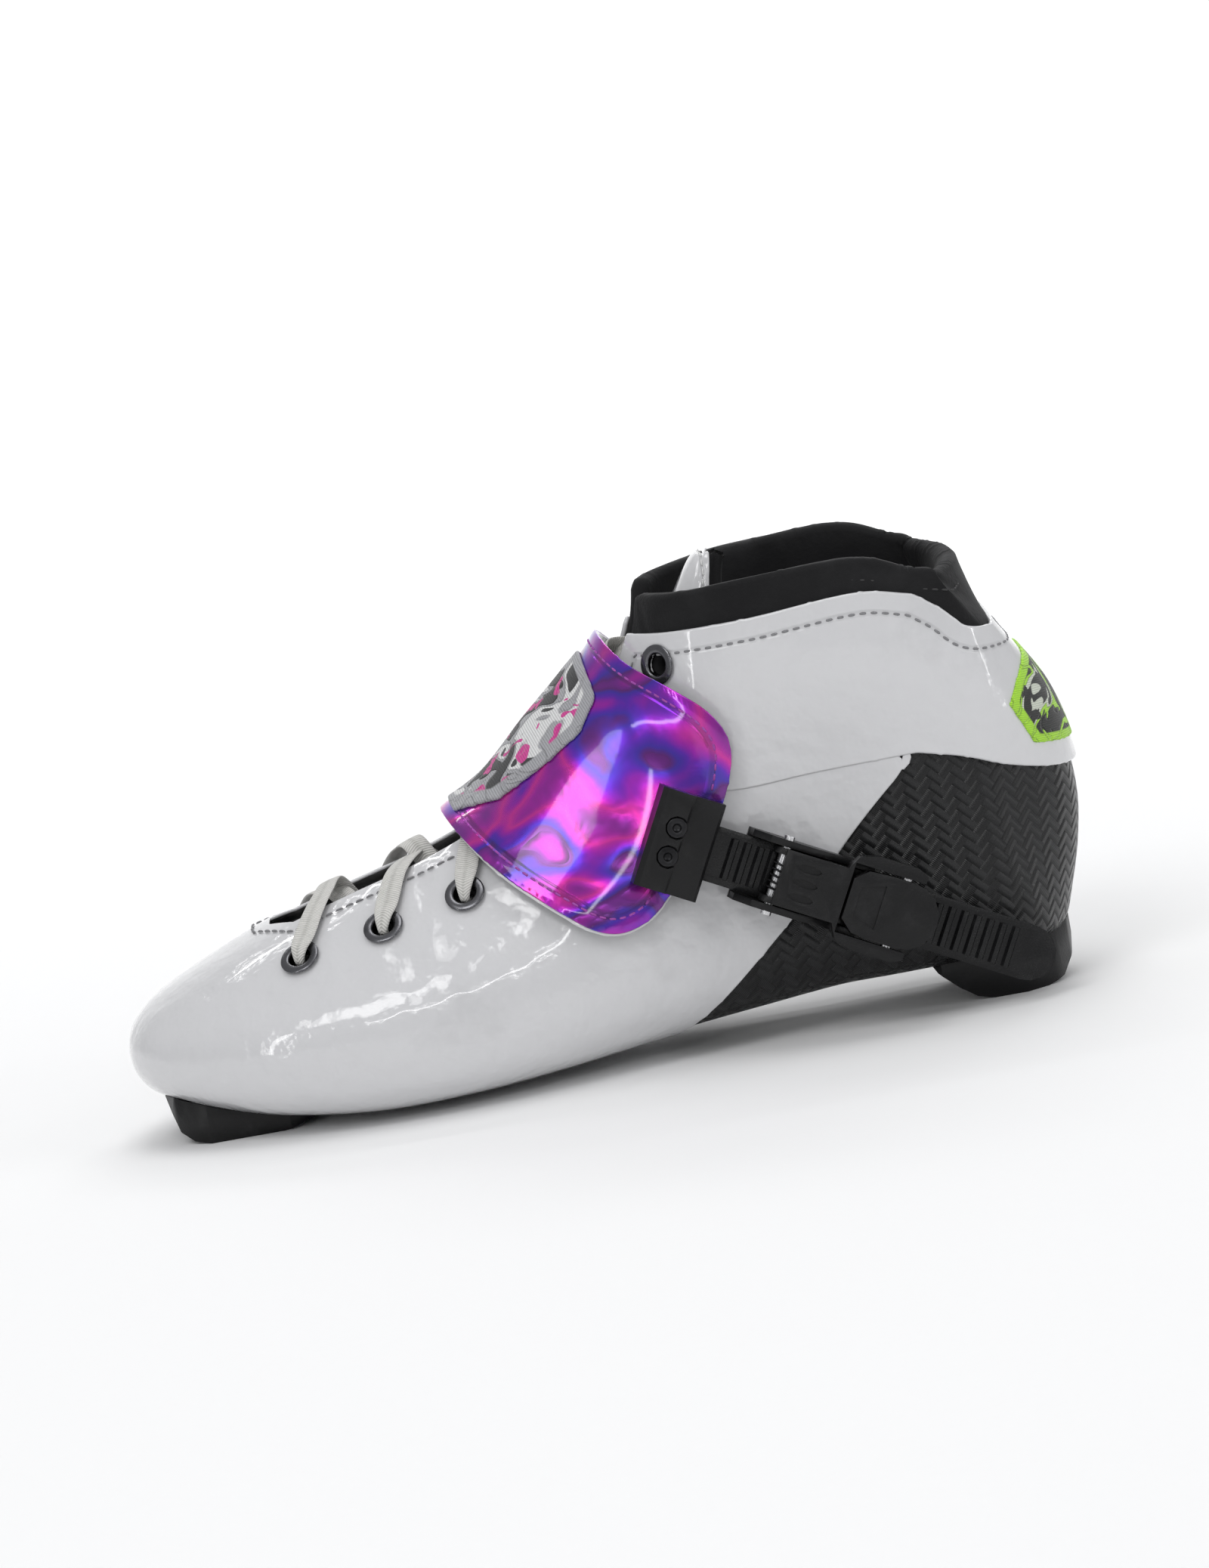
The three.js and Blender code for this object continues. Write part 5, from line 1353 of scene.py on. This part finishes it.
def make_buckle():
    make_holder_screws()
    for node, finish_name, body, bevel, slot in (  # bevels in mm
            ("strap_holder", "black_plastic", "ladder", 0.45, "black_plastic"),
            ("ladder_strap", "ladder_plastic", "ladder", 0.16, "black_plastic"),
            ("buckle_base_pad", "black_plastic", "boot", 0.3, "black_plastic"),
            ("buckle_screw", "steel", "boot", 0.2, "steel"),
            ("buckle_nut", "steel", "boot", 0.2, "steel"),
            ("buckle_frame", "black_plastic", "boot", 0.3, "black_plastic"),
            ("lever_pin", "steel", "boot", 0.25, "steel"),
            ("ratchet_lever", "black_plastic", "lever", 0.4, "black_plastic"),
            ("drive_pawl_pin", "steel", "lever", 0.1, "steel"),
            ("drive_pawl", "black_plastic", "drive_pawl_body", 0.15, "black_plastic"),
            ("holding_pawl_pin", "steel", "boot", 0.1, "steel"),
            ("holding_pawl", "black_plastic", "holding_pawl_body", 0.15, "black_plastic"),
            ("lever_spring", "black_oxide", "boot", 0.08, "steel"),
            ("latch_pin", "steel", "lever", 0.25, "steel"),
            ("release_latch", "black_plastic", "latch", 0.35, "black_plastic"),
            ("latch_spring", "steel", "lever", 0.08, "steel")):
        machined(node, finish_name, body, bevel)


def make_sole():
    for end in ("front", "rear"):
        machined(end + "_mount_block", "black_plastic", "boot", 0.4)
    for end in ("front", "rear"):
        machined(end + "_frame_nut", "nut_aluminium", end + "_nut", 0.25)
    machined("footbed", "black_lining", "boot", 0.4, smooth_angle=40)


# ------------------------------------------------------------------ camera, floor and light
SENSOR = 36  # mm

# name, place, watts, width, height
LAMPS = (
    ("key_softbox", (-0.6, -1.2, 1.5), 8.5, 0.9, 0.7),
    ("fill_softbox", (1.4, -1.0, 0.9), 3.5, 0.7, 0.9),
    ("back_strip", (0.4, 1.4, 1.2), 5.0, 1.2, 0.3),
    ("top_softbox", (0.1, 0.0, 1.8), 7.0, 1.1, 0.7),
    ("left_strip", (-1.1, -1.1, 0.45), 1.6, 0.06, 0.9),
    ("low_strip", (0.1, -1.6, 0.75), 2.2, 1.3, 0.05),
    ("heel_strip", (1.3, -0.5, 0.4), 1.5, 0.07, 0.8),
    ("wall_wash", (0.0, 1.6, 2.4), 55.0, 3.0, 0.5),
)


def make_camera(scene):
    view = scene.boot_stage
    lens = bpy.data.cameras.new("view_camera")
    lens.lens, lens.sensor_width, lens.sensor_fit = view.lens, SENSOR, "AUTO"
    lens.clip_start, lens.clip_end = 0.05, 20
    toward = Vector((math.sin(view.turn) * math.cos(view.rise), math.cos(view.turn) * math.cos(view.rise),
                     -math.sin(view.rise)))
    camera = link("view_camera", lens)
    camera.location = Vector((view.aim_x, 0, view.aim_z)) - toward * (view.lens / SENSOR * view.tall)
    camera.rotation_mode = "QUATERNION"
    camera.rotation_quaternion = (toward.to_track_quat("-Z", "Y")
                                  @ Matrix.Rotation(-view.roll, 4, "Z").to_quaternion())
    scene.camera = camera


def make_floor():
    """A paper floor that curves up into a wall behind the boot."""
    front, back, top, radius, half = -5.0, 2.4, 5.0, 1.2, 6
    sweep = [(front, 0.0), (back, 0.0)]
    sweep += [(back + radius * math.sin(k * PI / 24), radius - radius * math.cos(k * PI / 24))
              for k in range(1, 13)]
    sweep += [(back + radius, top)]
    count = len(sweep)
    mesh = bpy.data.meshes.new("floor")
    mesh.from_pydata([(x, y, z) for x in (-half, half) for y, z in sweep], [],
                     [(k, k + count, k + count + 1, k + 1) for k in range(count - 1)])
    for poly in mesh.polygons:
        poly.use_smooth = True
    paper = Paint("paper_floor")
    tint = paper.mix(paper.noise(3, 3) * 0.3, (0.86, 0.86, 0.86), (0.83, 0.83, 0.83))
    mesh.materials.append(paper.finish(Base_Color=tint, Roughness=0.9))
    return link("floor", mesh)


def make_lamp(name, place, power, width, height):
    light = bpy.data.lights.new(name, "AREA")
    light.shape, light.size, light.size_y, light.energy = "RECTANGLE", width, height, power
    lamp = link(name, light)
    lamp.location = place
    lamp.rotation_mode = "QUATERNION"
    aimed = Vector((0, 3.4, 0.6)) if name == "wall_wash" else Vector((0, 0, 0.07))
    lamp.rotation_quaternion = (aimed - Vector(place)).to_track_quat("-Z", "Y")
    return lamp


def make_stage():
    scene = bpy.context.scene
    make_camera(scene)
    staged = [make_floor()] + [make_lamp(*row) for row in LAMPS]
    world = bpy.data.worlds.new("studio")
    world.use_nodes = True
    backdrop = next(n for n in world.node_tree.nodes if n.type == "BACKGROUND")
    backdrop.inputs[0].default_value = (0.92, 0.93, 0.95, 1)
    backdrop.inputs[1].default_value = scene.boot_stage.backdrop
    scene.world = world
    scene.view_settings.view_transform = "Standard"


# ------------------------------------------------------------------ add-on
def length(name, text, default):
    return bpy.props.FloatProperty(name=name, description=text, default=default, unit="LENGTH", precision=4)


def colour(name, text, default):
    return bpy.props.FloatVectorProperty(name=name, description=text, default=default, subtype="COLOR",
                                         size=3, min=0.0, max=1.0)


def angle(name, text, degrees):
    return bpy.props.FloatProperty(name=name, description=text, default=math.radians(degrees),
                                   subtype="ANGLE", unit="ROTATION")


class BootSizes(bpy.types.PropertyGroup):
    """The sizes and colours of the boot."""
    leather: colour("Leather", "Colour of the upper and the cuff", (0.58, 0.58, 0.592))
    trim: colour("Trim", "Colour of the tongue cover and the back of the strap", (0.58, 0.58, 0.59))
    lace: colour("Lace", "Colour of the lace's yarn", (0.72, 0.71, 0.68))
    # The lace shade colour is painted shade between the yarns, not a second yarn colour.
    lace_shade: colour("Lace shade", "Colour between the yarns of the lace", (0.36, 0.355, 0.335))
    lace_width: length("Lace width", "Width of the lace where it lies flat", 0.0066)
    cuff_seam: length("Cuff seam", "From the cuff's top edge to its row of stitches", 0.005)
    cuff_pitch: length("Cuff pitch", "From one stitch of the cuff to the next", 0.003)
    foam_swell: length("Foam swell", "How far the padding of the collar may swell", 0.0009)


class BootStage(bpy.types.PropertyGroup):
    """The view of the boot."""
    lens: bpy.props.FloatProperty(name="Lens", description="Focal length in millimetres", default=135.0)
    tall: length("Height of view", "What the height of the picture spans at the boot", 0.4254)
    aim_x: length("Aim X", "Where the camera looks, along the boot", 0.0072)
    aim_z: length("Aim Z", "Where the camera looks, above the ground", 0.074)
    turn: angle("Turn", "Camera round the boot", 0)
    rise: angle("Rise", "Camera above the horizon", 8)
    roll: angle("Roll", "Tilt of the picture", 10.61)
    backdrop: bpy.props.FloatProperty(name="Backdrop", description="Strength of the light all round",
                                      default=0.5, min=0.0)


GROUPS = {"boot_sizes": BootSizes, "boot_stage": BootStage}

STEPS = (
    ("stage", "Camera, floor and light", "The camera, the floor, the lamps and the backdrop", make_stage),
    ("carbon_shell", "Carbon shell", "The laminate shell under and behind the foot", make_carbon_shell),
    ("upper", "Patent upper and cuff", "The forefoot upper, the ankle cuff and their stitching", make_upper),
    ("lining", "Collar padding and lining", "The padded collar and the lining of the foot", make_lining),
    ("tongue", "Tongue", "The padded tongue and its patent cover", make_tongue),
    ("eyelets", "Eyelets", "Twelve rolled metal eyelets", make_eyelets),
    ("lace", "Lace", "The flat lace through the lower five pairs of eyelets", make_lace),
    ("strap", "Instep strap", "The iridescent strap with its backing, stitching and patch", make_strap),
    ("rivets", "Strap rivets", "The two rivets on the inner side", make_rivets),
    ("patches", "Heel patch", "The embroidered patch on the heel", make_patches),
    ("buckle", "Ratchet buckle", "The ladder, its holder and the ratchet buckle", make_buckle),
    ("sole", "Mounting blocks", "The two mounting blocks, their nuts and the footbed", make_sole),
)


def operator(key, label, text, work):
    """An operator class that makes one group of pieces."""
    def execute(self, context):
        work()
        return {"FINISHED"}
    return type("BOOT_OT_" + key, (bpy.types.Operator,), {
        "__doc__": text, "bl_idname": "boot." + key, "bl_label": label, "execute": execute})


OPERATORS = [operator(*step) for step in STEPS]


class BOOT_PT_panel(bpy.types.Panel):
    """Lists the sizes and colours and the steps that build the boot."""
    bl_label = "Speed skate boot"
    bl_idname = "BOOT_PT_panel"
    bl_space_type = "VIEW_3D"
    bl_region_type = "UI"
    bl_category = "Boot"

    def draw(self, context):
        for key, group in GROUPS.items():
            for name in group.__annotations__:
                self.layout.prop(getattr(context.scene, key), name)
        for made in OPERATORS:
            self.layout.operator(made.bl_idname)


CLASSES = [*GROUPS.values(), *OPERATORS, BOOT_PT_panel]


def register():
    for made in CLASSES:
        bpy.utils.register_class(made)
    for key, group in GROUPS.items():
        setattr(bpy.types.Scene, key, bpy.props.PointerProperty(type=group))


def unregister():
    for key in GROUPS:
        delattr(bpy.types.Scene, key)
    for made in reversed(CLASSES):
        bpy.utils.unregister_class(made)


def main():
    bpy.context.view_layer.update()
    register()
    for key, *_ in STEPS:
        getattr(bpy.ops.boot, key)()


if __name__ == "__main__":
    main()
